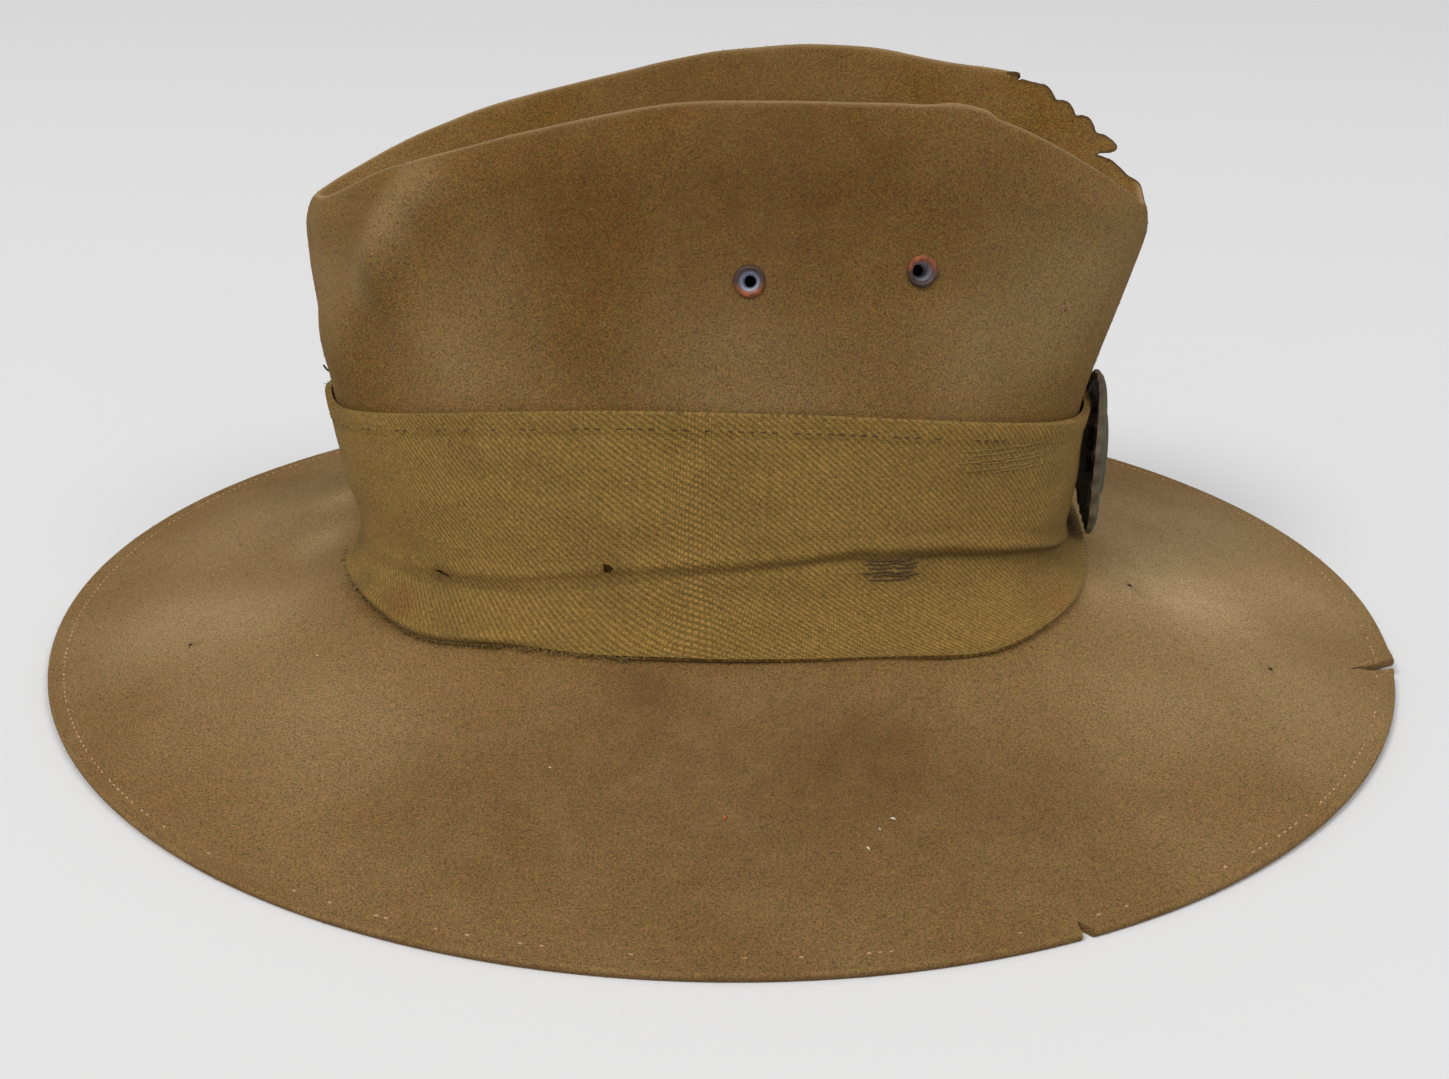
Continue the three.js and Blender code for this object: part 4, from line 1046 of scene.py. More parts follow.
cloth_tone = layered(
    tree,
    mix(tree, warp_over, CLOTH_OLIVE, CLOTH_OCHRE),
    (ranged(tree, tones, 0.8, 1.2, 0.0, 0.4), CLOTH_OLIVE),
    (ranged(tree, rib, -1.0, 0.3, 0.14, 0.0), CLOTH_GAP),
    (ranged(tree, over, 0.0, 0.8, 0.55, 0.0), CLOTH_GAP),
    (ranged(tree, noisy(tree, 22, 4, 0.6), 0.45, 0.75, 0.0, 0.3), CLOTH_DARK),
    # painted shadow under the long fold
    (times(tree, painted(tree, "folded"), 0.6), CLOTH_DARK),
    (times(tree, painted(tree, "soiled"), 0.75), CLOTH_DARK),
    (times(tree, painted(tree, "rusted"), 0.6), CLOTH_RUST),
)
weave_height = plus(tree, plus(tree, over, times(tree, rib, 0.2)), times(tree, fuzz, 0.5))
surface(tree, {
    "Base Color": grained(tree, cloth_tone, ranged(tree, fuzz, 0.25, 0.75, 0.6, 1.4)),
    "Normal": bumped(tree, weave_height, 0.5, 0.25),
    "Roughness": 0.92,
    "Specular IOR Level": 0.2,
    "Sheen Weight": 0.12,
    "Sheen Roughness": 0.55,
    "Sheen Tint": colour("#B5A070"),
})
cloth_band.data.materials.append(cloth_material)
print(cloth_material.name, "thread", round(THREAD, 3), "mm")

# %% [markdown]
# The cloth is painted too: a painted shadow under the fold, soil along its lower edge and where hands took
# it, and rust-brown where metal lay against it.

# %% Wear and painted fold shadow of the cloth
SOIL = table(
    "x y z radius share",
    (-92, -26, 32, 7, 0.7), (-88, -42, 27, 6, 0.6), (-78, -52, 26, 6, 0.5), (-64, -53, 36, 4, 0.7),
    (41, -58.5, 44, 4, 0.5), (52, -55, 43, 5, 0.45), (-19, -62, 44, 3.2, 0.7), (88, -22, 34, 12, 0.5),
    (92, -12, 40, 14, 0.5), (67, -45, 66, 8, 0.2), (80, -40, 27, 8, 0.3), (-60, -62, 24, 8, 0.35),
)
RUST_STAINS = table(
    "x y z radius share",
    (-75, -52, 28.4, 3.5, 0.8), (89, -40, 28.6, 3.5, 0.8), (93, -12, 70, 6, 0.3),
)
CLOTH_HALF_LENGTH, CLOTH_HALF_BREADTH = 93, 61
SHADE_BELOW, SHADE_WIDTH, SHADE_MOST = 1.0, 0.9, 1.2
EDGE_SOIL_HEIGHT, EDGE_SOIL, ROLL_SOIL = 1.5, 0.35, 0.65

cloth_points = mesh_points(cloth_band)
x_share = cloth_points[:, 0] / CLOTH_HALF_LENGTH
y_share = (cloth_points[:, 1] - CROWN_OFFSET) / CLOTH_HALF_BREADTH
angle_here = np.degrees(np.arctan2(y_share, x_share))
below_fold = cloth_points[:, 2] - read_at(FOLD_LINE, angle_here, "height") + SHADE_BELOW
fold_strength = np.minimum(read_at(FOLD_LINE, angle_here, "strength"), SHADE_MOST)
edge_height = np.interp(angle_here % 360, band_degrees, outside[0][:, 2], period=360)
edge_share = np.interp(angle_here % 360, band_degrees, EDGE_SOIL + ROLL_SOIL * rolled, period=360)
edge_soil = edge_share * bell((cloth_points[:, 2] - edge_height) / EDGE_SOIL_HEIGHT)
# a painted shadow just below the fold line
store(cloth_band, "folded", bell(below_fold / SHADE_WIDTH) * fold_strength)
store(cloth_band, "soiled", np.maximum(patches(cloth_points, SOIL), edge_soil))
store(cloth_band, "rusted", patches(cloth_points, RUST_STAINS))
print("cloth points in the fold's shade:", int((below_fold < 0).sum()))

# %% [markdown]
# The vent eyelets are stamped sheet iron, tinned inside and rusted where rain ran over the rims. The pale
# inside of each barrel is partly tin and partly painted light seen through the vent. A profile is turned
# round the axis of each packed eyelet. The rust is painted by the angle round the rim, as one eyelet rusts
# below and its neighbour above.

# %% Vent eyelets
EYELET_PROFILE = table(
    "radius height bright",
    (1.3, -3.9, 1), (2.8, -4.05, 0), (3.4, -3.8, 0), (3.65, -3.1, 0), (3.3, -2.75, 0), (2.85, -2.6, 0),
    (2.8, -1.2, 0), (2.85, 0.1, 0), (3.3, 0.08, 0), (3.6, 0.2, 0), (3.7, 0.5, 0), (3.55, 0.8, 0),
    (3.2, 1.0, 0), (2.85, 1.0, 0), (2.55, 0.8, 0.1), (2.35, 0.4, 0.2), (2.2, -0.1, 0.5), (1.85, -1.4, 1),
)
EYELET_SIDES = 48
RUST_SPREAD, FACE_INSET = 75, 1.25
# The tin share sets how pale each barrel's inside is: partly tin and partly painted light seen through the
# vent.
EYELET_RUST = table(
    "node angle share tin",
    ("eyelet_right_rear", -90, 0.7, 1.0),
    ("eyelet_right_front", 80, 1.0, 0.45),
    ("eyelet_left_rear", -60, 0.6, 0.8),
    ("eyelet_left_front", 120, 0.8, 0.6),
)
eyelets = []
for row in EYELET_RUST:
    centre, axis = middle_and_axis(row["node"])
    packed_heights = (mesh_points(frame["nodes"][row["node"]]) - centre) @ axis
    face = centre + axis * (packed_heights.max() - FACE_INSET)
    side = unit(np.cross([0, 0, 1], axis))
    ring = circle(EYELET_SIDES) @ np.stack([side, np.cross(axis, side)])
    spool = np.concatenate([face + ring * p["radius"] + axis * p["height"] for p in EYELET_PROFILE])
    loops = grid_ids(len(EYELET_PROFILE), EYELET_SIDES)
    spool_faces = np.concatenate([ring_faces(loops[q - 1], loops[q]) for q in range(len(loops))])
    eyelet = face_outward(piece(row["node"].replace("eyelet", "vent"), spool, spool_faces))
    from_rust = degrees_apart(np.degrees(turns(EYELET_SIDES)), row["angle"])
    rust = np.tile(row["share"] * bell(from_rust / RUST_SPREAD), len(EYELET_PROFILE))
    # bright marks the pale inside of the barrel: tin and painted light seen through the vent.
    bright = np.repeat([p["bright"] * row["tin"] for p in EYELET_PROFILE], EYELET_SIDES)
    store(eyelet, "rust", rust * (1 - bright))
    store(eyelet, "bright", bright)
    eyelets.append((eyelet, row["node"]))
print("eyelets:", [eyelet.name for eyelet, _ in eyelets])

# %% [markdown]
# The badge is a thin bronze casting: a notched oval plate, bowed outward, with a raised boss in front and a
# hollow back. It is a plain oval here, without any device. Rings of points, wider apart towards the middle,
# make both faces.

# %% Badge
BADGE_WIDTH, BADGE_HEIGHT, BADGE_THICKNESS, BADGE_DOME = 37.0, 43.0, 1.5, 3.2
BADGE_BEND, BADGE_SQUARE, BADGE_LIP = 1.2, 0.9, 0.5
BADGE_COLUMNS = 168
NOTCHES, NOTCH_DEPTH, NOTCH_INSET = 24, 0.05, 0.9
BADGE_PROFILE = table(
    "radius rise",
    (1.0, 0.0), (0.985, 0.12), (0.96, 0.26), (0.93, 0.33), (0.91, 0.34), (0.89, 0.42), (0.87, 0.4),
    (0.85, 0.34), (0.83, 0.24), (0.8, 0.22), (0.74, 0.3), (0.66, 0.41), (0.6, 0.48), (0.56, 0.52),
    (0.54, 0.64), (0.52, 0.76), (0.5, 0.8), (0.42, 0.88), (0.3, 0.96), (0.2, 0.99), (0.1, 1.0),
)
badge_front = packed_box("badge")[1][0]
badge_back = badge_front - BADGE_DOME - BADGE_THICKNESS
badge_turn = turns(BADGE_COLUMNS)
notch = NOTCH_DEPTH * (0.5 - 0.5 * np.cos(badge_turn * NOTCHES))
square = 2 + BADGE_SQUARE * smooth_step(-np.cos(badge_turn), -0.2, 0.6)
outline_reach = (np.abs(np.sin(badge_turn)) ** square + np.abs(np.cos(badge_turn)) ** square) ** (-1 / square)


def badge_bend(y):
    return BADGE_BEND * (2 * y / BADGE_WIDTH) ** 2


def badge_ring(radius, depth):
    reach = (radius - notch * smooth_step(radius, NOTCH_INSET, 1.0)) * outline_reach
    y = np.sin(badge_turn) * reach * BADGE_WIDTH / 2
    z = BADGE_CENTRE_HEIGHT + np.cos(badge_turn) * reach * BADGE_HEIGHT / 2
    return np.stack([badge_back + depth - badge_bend(y), CROWN_OFFSET + y, z], axis=1)


def back_depth(row):
    return row["rise"] * BADGE_DOME + BADGE_LIP * smooth_step(row["radius"], NOTCH_INSET, 1)


front_rings = [badge_ring(p["radius"], p["rise"] * BADGE_DOME + BADGE_THICKNESS) for p in BADGE_PROFILE]
back_rings = [badge_ring(p["radius"], back_depth(p)) for p in BADGE_PROFILE[::-1]]
middles = [(x, CROWN_OFFSET, BADGE_CENTRE_HEIGHT) for x in (badge_front, badge_front - BADGE_THICKNESS)]
plate = np.concatenate(front_rings + back_rings + [middles])
loops = grid_ids(len(front_rings) + len(back_rings), BADGE_COLUMNS)
last_front, first_back = loops[len(front_rings) - 1], loops[len(front_rings)]
plate_faces = [
    list(f) for q in range(len(loops)) if q != len(front_rings) for f in ring_faces(loops[q - 1], loops[q])
]
for k in range(BADGE_COLUMNS):
    ahead = (k + 1) % BADGE_COLUMNS
    plate_faces.append([last_front[k], last_front[ahead], len(plate) - 2])
    plate_faces.append([first_back[ahead], first_back[k], len(plate) - 1])
print("badge plate:", len(plate), "points")

# %% [markdown]
# Threads, ribs and frayed ends are all tubes: a ring of points carried along a path. A second function
# gathers several closed shapes into the points and faces of one piece. The lugs pass through band and felt
# to the iron pin, which goes through an eye in each, and ribs stiffen the plate's hollow back.

# %% Lugs and ribs of the badge
TUBE_ASIDE, TUBE_TIP = [0.31, 0.17, 0.94], 0.2
EYE_ROOM, EYE_REACH = 0.3, 3
TAIL_ROUND, TAIL_SHARE = 1, 0.6
RIBS = table("height half_width", (62.5, 11), (56.5, 14.5), (47.0, 15), (40.5, 12))
RIB_RADIUS, RIB_POINTS = 0.9, 13


def tube(path, radius, sides=8, point_end=False):
    """A round thread or bar along a path, closed at both ends; radius is one size or one for each point."""
    path = np.asarray(path, float)
    radius = np.broadcast_to(radius, len(path)).copy()
    if point_end:
        radius[-1] *= TUBE_TIP
    way = unit(np.gradient(path, axis=0))
    side = unit(np.cross(way, TUBE_ASIDE))
    frames = np.stack([side, np.cross(way, side)], axis=1)
    rings = path[:, None] + radius[:, None, None] * (circle(sides) @ frames)
    loops = grid_ids(len(path), sides)
    faces = [list(f) for q in range(len(path) - 1) for f in ring_faces(loops[q], loops[q + 1])]
    return rings.reshape(-1, 3), faces + [list(loops[0][::-1]), list(loops[-1])]


def gather(parts):
    """Several closed shapes as one list of points and one of faces."""
    points, faces = [], []
    for shape_points, shape_faces in parts:
        shift = sum(len(p) for p in points)
        points.append(np.asarray(shape_points, float))
        faces += [[int(k) + shift for k in face] for face in shape_faces]
    return np.concatenate(points), faces


pin_low, pin_high = packed_box("badge_pin")
pin_x = (pin_low[0] + pin_high[0]) / 2
eye_radius = (pin_high[0] - pin_low[0]) / 2 + EYE_ROOM
tail, head = pin_x - eye_radius - LUG_THICKNESS, badge_back + BADGE_DOME + BADGE_THICKNESS / 2
half = LUG_WIDTH / 2
lug_side = [(tail, -half * TAIL_SHARE), (tail + TAIL_ROUND, -half), (head, -half)]
lug_outline = np.array(lug_side + [(x, -y) for x, y in lug_side[::-1]])
shapes = [(plate, plate_faces)]
for height in LUG_HEIGHTS:
    ends = (-LUG_THICKNESS / 2, LUG_THICKNESS / 2)
    lug = prism("lug", lug_outline, (0, CROWN_OFFSET, height), (1, 0, 0), (0, 1, 0), *ends)
    eye = rod("eye", (pin_x, CROWN_OFFSET, height), np.array([0.001, 0, 1.0]), eye_radius, EYE_REACH)
    cut_away(lug, [eye])
    shapes.append((mesh_points(lug), [list(face.vertices) for face in lug.data.polygons]))
    remove([lug, eye])
for rib in RIBS:
    y = np.linspace(-rib["half_width"], rib["half_width"], RIB_POINTS)
    off = np.hypot(2 * y / BADGE_WIDTH, 2 * (rib["height"] - BADGE_CENTRE_HEIGHT) / BADGE_HEIGHT)
    rise = np.interp(-off, [-p["radius"] for p in BADGE_PROFILE], [p["rise"] for p in BADGE_PROFILE])
    bar_x = badge_back + rise * BADGE_DOME - badge_bend(y)
    shapes.append(tube(np.stack([bar_x, CROWN_OFFSET + y, rib["height"] + 0 * y], axis=1), RIB_RADIUS))
badge_plate = face_outward(piece("badge_plate", *gather(shapes)))
print("badge:", len(badge_plate.data.vertices), "points, back at x", round(float(badge_back), 2))

# %% [markdown]
# Bare metal keeps its own materials. Iron rust is matt, rough and orange over a brown oxide skin. The pale
# bluish grey inside the barrel, with little metal shine, is partly tin and partly painted light seen through
# the vent. Old bronze turns brown-black, with grey-green bloom on the parts that nobody rubs and copper
# showing on the edges.

# %% Metal materials
IRON_SKIN, IRON_RUST = colour("#40342F"), colour("#52301F")
IRON_ORANGE, TIN_AND_PAINTED_LIGHT = colour("#964E24"), colour("#B4BAC8")
BRONZE, VERDIGRIS, COPPER = colour("#494434"), colour("#5C5B44"), colour("#6E4E34")

iron_material, tree = new_material("tinned_iron_rusted")
rust, bright = painted(tree, "rust"), painted(tree, "bright")
crust, pits = noisy(tree, 1.3, 4, 0.7), noisy(tree, 0.5, 3)
rust_here = times(tree, rust, crust)
iron_colour = layered(
    tree,
    mix(tree, ranged(tree, crust, 0.4, 0.65, 0.0, 0.5), IRON_SKIN, IRON_RUST),
    (
        ranged(tree, plus(tree, rust, times(tree, crust, 0.5)), 0.35, 0.75),
        mix(tree, ranged(tree, crust, 0.35, 0.6), IRON_RUST, IRON_ORANGE),
    ),
    # pale inside of the barrel: tin and painted light
    (bright, TIN_AND_PAINTED_LIGHT),
)
surface(tree, {
    "Base Color": iron_colour,
    "Normal": bumped(tree, plus(tree, crust, pits), 0.6, 0.2),
    "Metallic": ranged(tree, plus(tree, rust_here, bright), 0.05, 0.35, 0.6, 0.0),
    "Roughness": ranged(tree, rust_here, 0.0, 0.3, 0.45, 0.85),
})

bronze_material, tree = new_material("patinated_bronze")
bloom, grit = noisy(tree, 6, 5, 0.65), noisy(tree, 0.8, 3)
edges = add(tree, "ShaderNodeNewGeometry").outputs["Pointiness"]
bronze_colour = layered(
    tree,
    mix(tree, ranged(tree, bloom, 0.38, 0.62, 0.15, 0.95), BRONZE, VERDIGRIS),
    (ranged(tree, grit, 0.55, 0.75, 0.0, 0.5), BRONZE),
    (ranged(tree, edges, 0.52, 0.6, 0.0, 0.5), COPPER),
)
surface(tree, {
    "Base Color": bronze_colour,
    "Normal": bumped(tree, plus(tree, bloom, grit), 0.45, 0.3),
    "Metallic": ranged(tree, bloom, 0.38, 0.62, 0.4, 0.05),
    "Roughness": ranged(tree, bloom, 0.38, 0.62, 0.62, 0.85),
})
for eyelet, _ in eyelets:
    eyelet.data.materials.append(iron_material)
badge_plate.data.materials.append(bronze_material)
pin = frame["nodes"]["badge_pin"]
pin.data.materials.clear()
pin.data.materials.append(iron_material)
print("metals:", iron_material.name, bronze_material.name)

# %% [markdown]
# Machine stitches run along the brim's edge and under the band's top edge. Each seam is one path, and
# Geometry Nodes lay a small thread grain along it at every stitch. Some are missing where the thread wore
# through, which a random choice against the painted share of thread makes.

# %% Stitches along a path
def plain_thread(name, light, dark, grain_size):
    made, tree = new_material(name)
    twist = noisy(tree, grain_size)
    surface(tree, {
        "Base Color": mix(tree, ranged(tree, twist, 0.35, 0.65), colour(dark), colour(light)),
        "Normal": bumped(tree, twist, 0.5, 0.1),
        "Roughness": 0.85,
        "Sheen Weight": 0.1,
        "Specular IOR Level": 0.2,
    })
    return made


def node_group(name, sizes, seed):
    """A node tree that takes a mesh, some sizes, a seed and a material, and gives back a mesh."""
    tree = bpy.data.node_groups.new(name, "GeometryNodeTree")
    sockets = [("Geometry", "Geometry", None)]
    sockets += [(label, "Float", size) for label, size in sizes.items()]
    sockets += [("Seed", "Int", seed), ("Material", "Material", None)]
    for label, kind, value in sockets:
        socket = tree.interface.new_socket(label, in_out="INPUT", socket_type="NodeSocket" + kind)
        if value is not None:
            socket.default_value = value
    tree.interface.new_socket("Geometry", in_out="OUTPUT", socket_type="NodeSocketGeometry")
    return tree, add(tree, "NodeGroupInput").outputs


def vector(tree, x, y, z):
    return add(tree, "ShaderNodeCombineXYZ", {0: x, 1: y, 2: z}).outputs[0]


def lay_at_points(tree, material, inputs):
    """Ends a tree: one small shape at every point, made real and given its material."""
    laid = add(tree, "GeometryNodeInstanceOnPoints", inputs)
    real = add(tree, "GeometryNodeRealizeInstances", {0: laid.outputs[0]})
    finished = add(tree, "GeometryNodeSetMaterial", {"Geometry": real.outputs[0], "Material": material})
    add(tree, "NodeGroupOutput", {0: finished.outputs[0]})
    return tree


def named(tree, name, kind):
    return add(tree, "GeometryNodeInputNamedAttribute", {"Name": name}, data_type=kind).outputs[0]


def seam_tree():
    tree, given = node_group("seam", {"Spacing": 2.2 * MM, "Length": 1.5 * MM, "Thickness": 0.5 * MM}, 3)
    seam = add(tree, "GeometryNodeMeshToCurve", {"Mesh": given["Geometry"]}).outputs[0]
    spaced = {"Curve": seam, "Length": given["Spacing"]}
    stitches = add(tree, "GeometryNodeResampleCurve", spaced, mode="LENGTH").outputs[0]
    chance = add(tree, "FunctionNodeRandomValue", {"Seed": given["Seed"]}, data_type="FLOAT").outputs[1]
    is_kept = {"A": chance, "B": named(tree, "kept", "FLOAT")}
    here = add(tree, "FunctionNodeCompare", is_kept, operation="LESS_THAN").outputs[0]
    along = {"Vector": add(tree, "GeometryNodeInputTangent").outputs[0]}
    lengthwise = add(tree, "FunctionNodeAlignRotationToVector", along, axis="X").outputs[0]
    upward = {"Rotation": lengthwise, "Vector": named(tree, "outward", "FLOAT_VECTOR")}
    seated = add(tree, "FunctionNodeAlignRotationToVector", upward, axis="Z", pivot_axis="X").outputs[0]
    grain = add(tree, "GeometryNodeMeshIcoSphere", {"Radius": 0.5, "Subdivisions": 2}).outputs[0]
    least_to_most = {0: vector(tree, 0.8, 0.8, 0.8), 1: vector(tree, 1.2, 1.2, 1.2), "Seed": given["Seed"]}
    uneven = add(tree, "FunctionNodeRandomValue", least_to_most, data_type="FLOAT_VECTOR").outputs[0]
    size = vector(tree, given["Length"], given["Thickness"], given["Thickness"])
    scale = add(tree, "ShaderNodeVectorMath", {0: size, 1: uneven}, operation="MULTIPLY").outputs[0]
    placed = {"Points": stitches, "Selection": here, "Instance": grain, "Rotation": seated, "Scale": scale}
    return lay_at_points(tree, given["Material"], placed)


def bake(made, tree, **values):
    """Runs a node tree on an object with its inputs set, and keeps the result as a plain mesh."""
    modifier = made.modifiers.new(tree.name, "NODES")
    modifier.node_group = tree
    sockets = {item.name: item.identifier for item in tree.interface.items_tree if item.in_out == "INPUT"}
    for name, value in values.items():
        modifier[sockets[name]] = value
    graph = bpy.context.evaluated_depsgraph_get()
    mesh = bpy.data.meshes.new_from_object(made.evaluated_get(graph))
    made.modifiers.clear()
    made.data = mesh
    print(made.name, "baked:", len(mesh.polygons), "faces")


def seam_path(name, points, outward, kept):
    made = piece(name, points, [])
    ends = np.arange(len(points))
    made.data.edges.add(len(points))
    made.data.edges.foreach_set("vertices", np.stack([ends, np.roll(ends, -1)], axis=1).reshape(-1))
    store(made, "kept", kept)
    layer = made.data.attributes.new("outward", "FLOAT_VECTOR", "POINT")
    layer.data.foreach_set("vector", np.asarray(outward, float).reshape(-1))
    return made


BRIM_SEAM_INSET, BRIM_STITCH_SPACING, SEARCH_RINGS = 5.0, 2.3, 8
BRIM_THREAD = table(
    "angle kept",
    (-180, 0.9), (-150, 0.9), (-138, 0.55), (-125, 0.2), (-70, 0.15), (-50, 0.4), (-35, 0.8), (-12, 0.6),
    (0, 0.5), (40, 0.8), (90, 0.85), (140, 0.85), (180, 0.9),
)
HEM_STITCH_SPACING, HEM_INSET = 2.6, 4.0
HEM_KEPT, HEM_KEPT_MORE, HEM_KEPT_ANGLE, HEM_KEPT_SPREAD = 0.35, 0.5, -80, 22

first_column = outer[: rim_count + SEARCH_RINGS * FELT_COLUMNS : FELT_COLUMNS]
seam_number = int(np.argmin(np.abs(np.linalg.norm(first_column - outer[0], axis=1) - BRIM_SEAM_INSET)))
seam_shape = (seam_number + 1, FELT_COLUMNS, 3)
seam_rings = outer[: (seam_number + 1) * FELT_COLUMNS].reshape(seam_shape)
brim_normals = point_normals(outer, outer_quads)[: (seam_number + 1) * FELT_COLUMNS].reshape(seam_shape)
inset = np.linalg.norm(seam_rings - seam_rings[0], axis=2)
seam_line = [
    [np.interp(BRIM_SEAM_INSET, inset[:, k], seam_rings[:, k, axis]) for axis in range(3)]
    for k in range(FELT_COLUMNS)
]
brim_kept = read_at(BRIM_THREAD, np.degrees(angles), "kept")
brim_stitches = seam_path("brim_stitches", seam_line, brim_normals[-1], brim_kept)
pale_thread = plain_thread("pale_cotton_thread", "#BE9A74", "#97704C", 0.6)
dark_thread = plain_thread("dark_cotton_thread", "#5B4424", "#3A2B17", 0.5)
seam = seam_tree()
brim_sizes = {"Spacing": BRIM_STITCH_SPACING * MM, "Length": 1.1 * MM, "Thickness": 0.55 * MM}
bake(brim_stitches, seam, Seed=3, Material=pale_thread, **brim_sizes)

ring_numbers = np.arange(BAND_RINGS)
hem_rows = [np.interp(finish[k] - HEM_INSET, along_band[:, k], ring_numbers) for k in range(BAND_COLUMNS)]
hem_line = [between(outside[:, k], row) for k, row in enumerate(hem_rows)]
hem_out = [out[int(row), k] for k, row in enumerate(hem_rows)]
hem_kept = HEM_KEPT + HEM_KEPT_MORE * bell(degrees_apart(band_degrees, HEM_KEPT_ANGLE) / HEM_KEPT_SPREAD)
hem_stitches = seam_path("hem_stitches", hem_line, hem_out, hem_kept)
hem_sizes = {"Spacing": HEM_STITCH_SPACING * MM, "Length": 1.6 * MM, "Thickness": 0.42 * MM}
bake(hem_stitches, seam, Seed=5, Material=dark_thread, **hem_sizes)

# %% [markdown]
# Felt has a nap of loose hairs, which softens its outline. Distribute Points on Faces scatters them evenly,
# and each is a thin three-sided cone leaning over at random. They carry the felt's painted attributes, so
# they can share its material. Real hairs are finer than a pixel, so there are fewer and thicker ones here.

# %% Nap
def nap_tree():
    sizes = {"Density": 60000.0, "Length": 1 * MM, "Thickness": 0.1 * MM, "Lean": 1.25}
    tree, given = node_group("nap", sizes, 11)
    strewn = {"Mesh": given["Geometry"], "Density": given["Density"], "Seed": given["Seed"]}
    roots = add(tree, "GeometryNodeDistributePointsOnFaces", strewn).outputs
    any_turn = {2: 0.0, 3: math.tau, "Seed": given["Seed"]}
    spin = add(tree, "FunctionNodeRandomValue", any_turn, data_type="FLOAT").outputs[1]
    way = roots["Rotation"]
    for turned in (vector(tree, 0, 0, spin), vector(tree, given["Lean"], 0, 0)):
        inputs = {"Rotation": way, "Rotate By": turned}
        way = add(tree, "FunctionNodeRotateRotation", inputs, rotation_space="LOCAL").outputs[0]
    cone = {"Vertices": 3, "Radius Top": 0.0, "Radius Bottom": 0.5, "Depth": 1.0}
    hair = add(tree, "GeometryNodeMeshCone", cone).outputs[0]
    stretch = add(tree, "FunctionNodeRandomValue", {2: 0.5, 3: 1.3, "Seed": 4}, data_type="FLOAT").outputs[1]
    tall = times(tree, given["Length"], stretch)
    size = vector(tree, given["Thickness"], given["Thickness"], tall)
    placed = {"Points": roots["Points"], "Instance": hair, "Rotation": way, "Scale": size}
    return lay_at_points(tree, given["Material"], placed)


HAIR_LENGTH, HAIR_THICKNESS, HAIR_LEAN, HAIRS_PER_SQUARE_METRE = 1.1, 0.14, 1.2, 70000.0
HAIR_FLOOR = 0.02

felt_nap = bpy.data.objects.new("felt_nap", felt_hat.data.copy())
bpy.context.scene.collection.objects.link(felt_nap)
hair_sizes = {"Length": HAIR_LENGTH * MM, "Thickness": HAIR_THICKNESS * MM, "Lean": HAIR_LEAN}
bake(felt_nap, nap_tree(), Density=HAIRS_PER_SQUARE_METRE, Seed=11, Material=felt_material, **hair_sizes)
nap_points = mesh_points(felt_nap)
nap_points[:, 2] = np.maximum(nap_points[:, 2], HAIR_FLOOR)
felt_nap.data.vertices.foreach_set("co", (nap_points * MM).reshape(-1))

# %% [markdown]
# The band was darned by hand where it wore through, and its edge is fraying. Each loose end is a thin bent
# tube that starts on the cloth and points away from it, longer where the cloth is ragged.

# %% Darning and frayed ends
DARNS = table(
    "from_angle to_angle from_height to_height thickness",
    (-69.6, -60.5, 46.3, 45.6, 0.42), (-70.0, -59.6, 45.4, 44.7, 0.5), (-69.2, -60.0, 44.4, 43.9, 0.5),
    (-70.2, -61.0, 43.5, 42.9, 0.46), (-68.6, -59.8, 42.6, 42.0, 0.5), (-69.4, -61.4, 41.6, 41.2, 0.4),
)
FAINT_DARNS = table(
    "from_angle to_angle from_height to_height thickness",
    (-54, -30, 70.6, 68.2, 0.3), (-52, -27, 69.2, 66.6, 0.3), (-55, -31, 68.1, 65.7, 0.3),
    (-50, -26, 66.8, 64.2, 0.3), (-53, -33, 65.7, 63.7, 0.3), (-47, -28, 64.3, 62.3, 0.3),
)
FRAYS = table(
    "from_angle to_angle count length thickness",
    (-170, -140, 150, 3.0, 0.3), (-140, -110, 230, 2.4, 0.3), (-110, -92, 110, 2.8, 0.28),
    (-92, -30, 70, 1.2, 0.26), (-30, 60, 60, 1.0, 0.26), (60, 194, 90, 1.2, 0.26),
)
TOP_FRAYS = table("from_angle to_angle count length thickness", (-180, 180, 150, 0.9, 0.22))
STITCH_LIFT, STITCH_SINK, FRAY_SINK = 0.25, 0.35, 0.3
LOOSE_ANGLE, LOOSE_HEIGHT, LOOSE_RADIUS = 178, 84, 0.3
LOOSE_BENDS = table("out aside up", (0, 0, 0), (1.2, 0, 0.9), (2.6, -0.3, 1.9), (3.6, -0.5, 3.6))


def stitch_line(row, wobble=0.18, points=9):
    angles_here = np.linspace(row["from_angle"], row["to_angle"], points)
    heights = np.linspace(row["from_height"], row["to_height"], points) + wobble * rng.standard_normal(points)
    lifts = np.full(points, row["thickness"] * STITCH_LIFT)
    lifts[[0, -1]] = -STITCH_SINK
    return tube([band_place(*at)[0] for at in zip(angles_here, heights, lifts)], row["thickness"] / 2, 6)


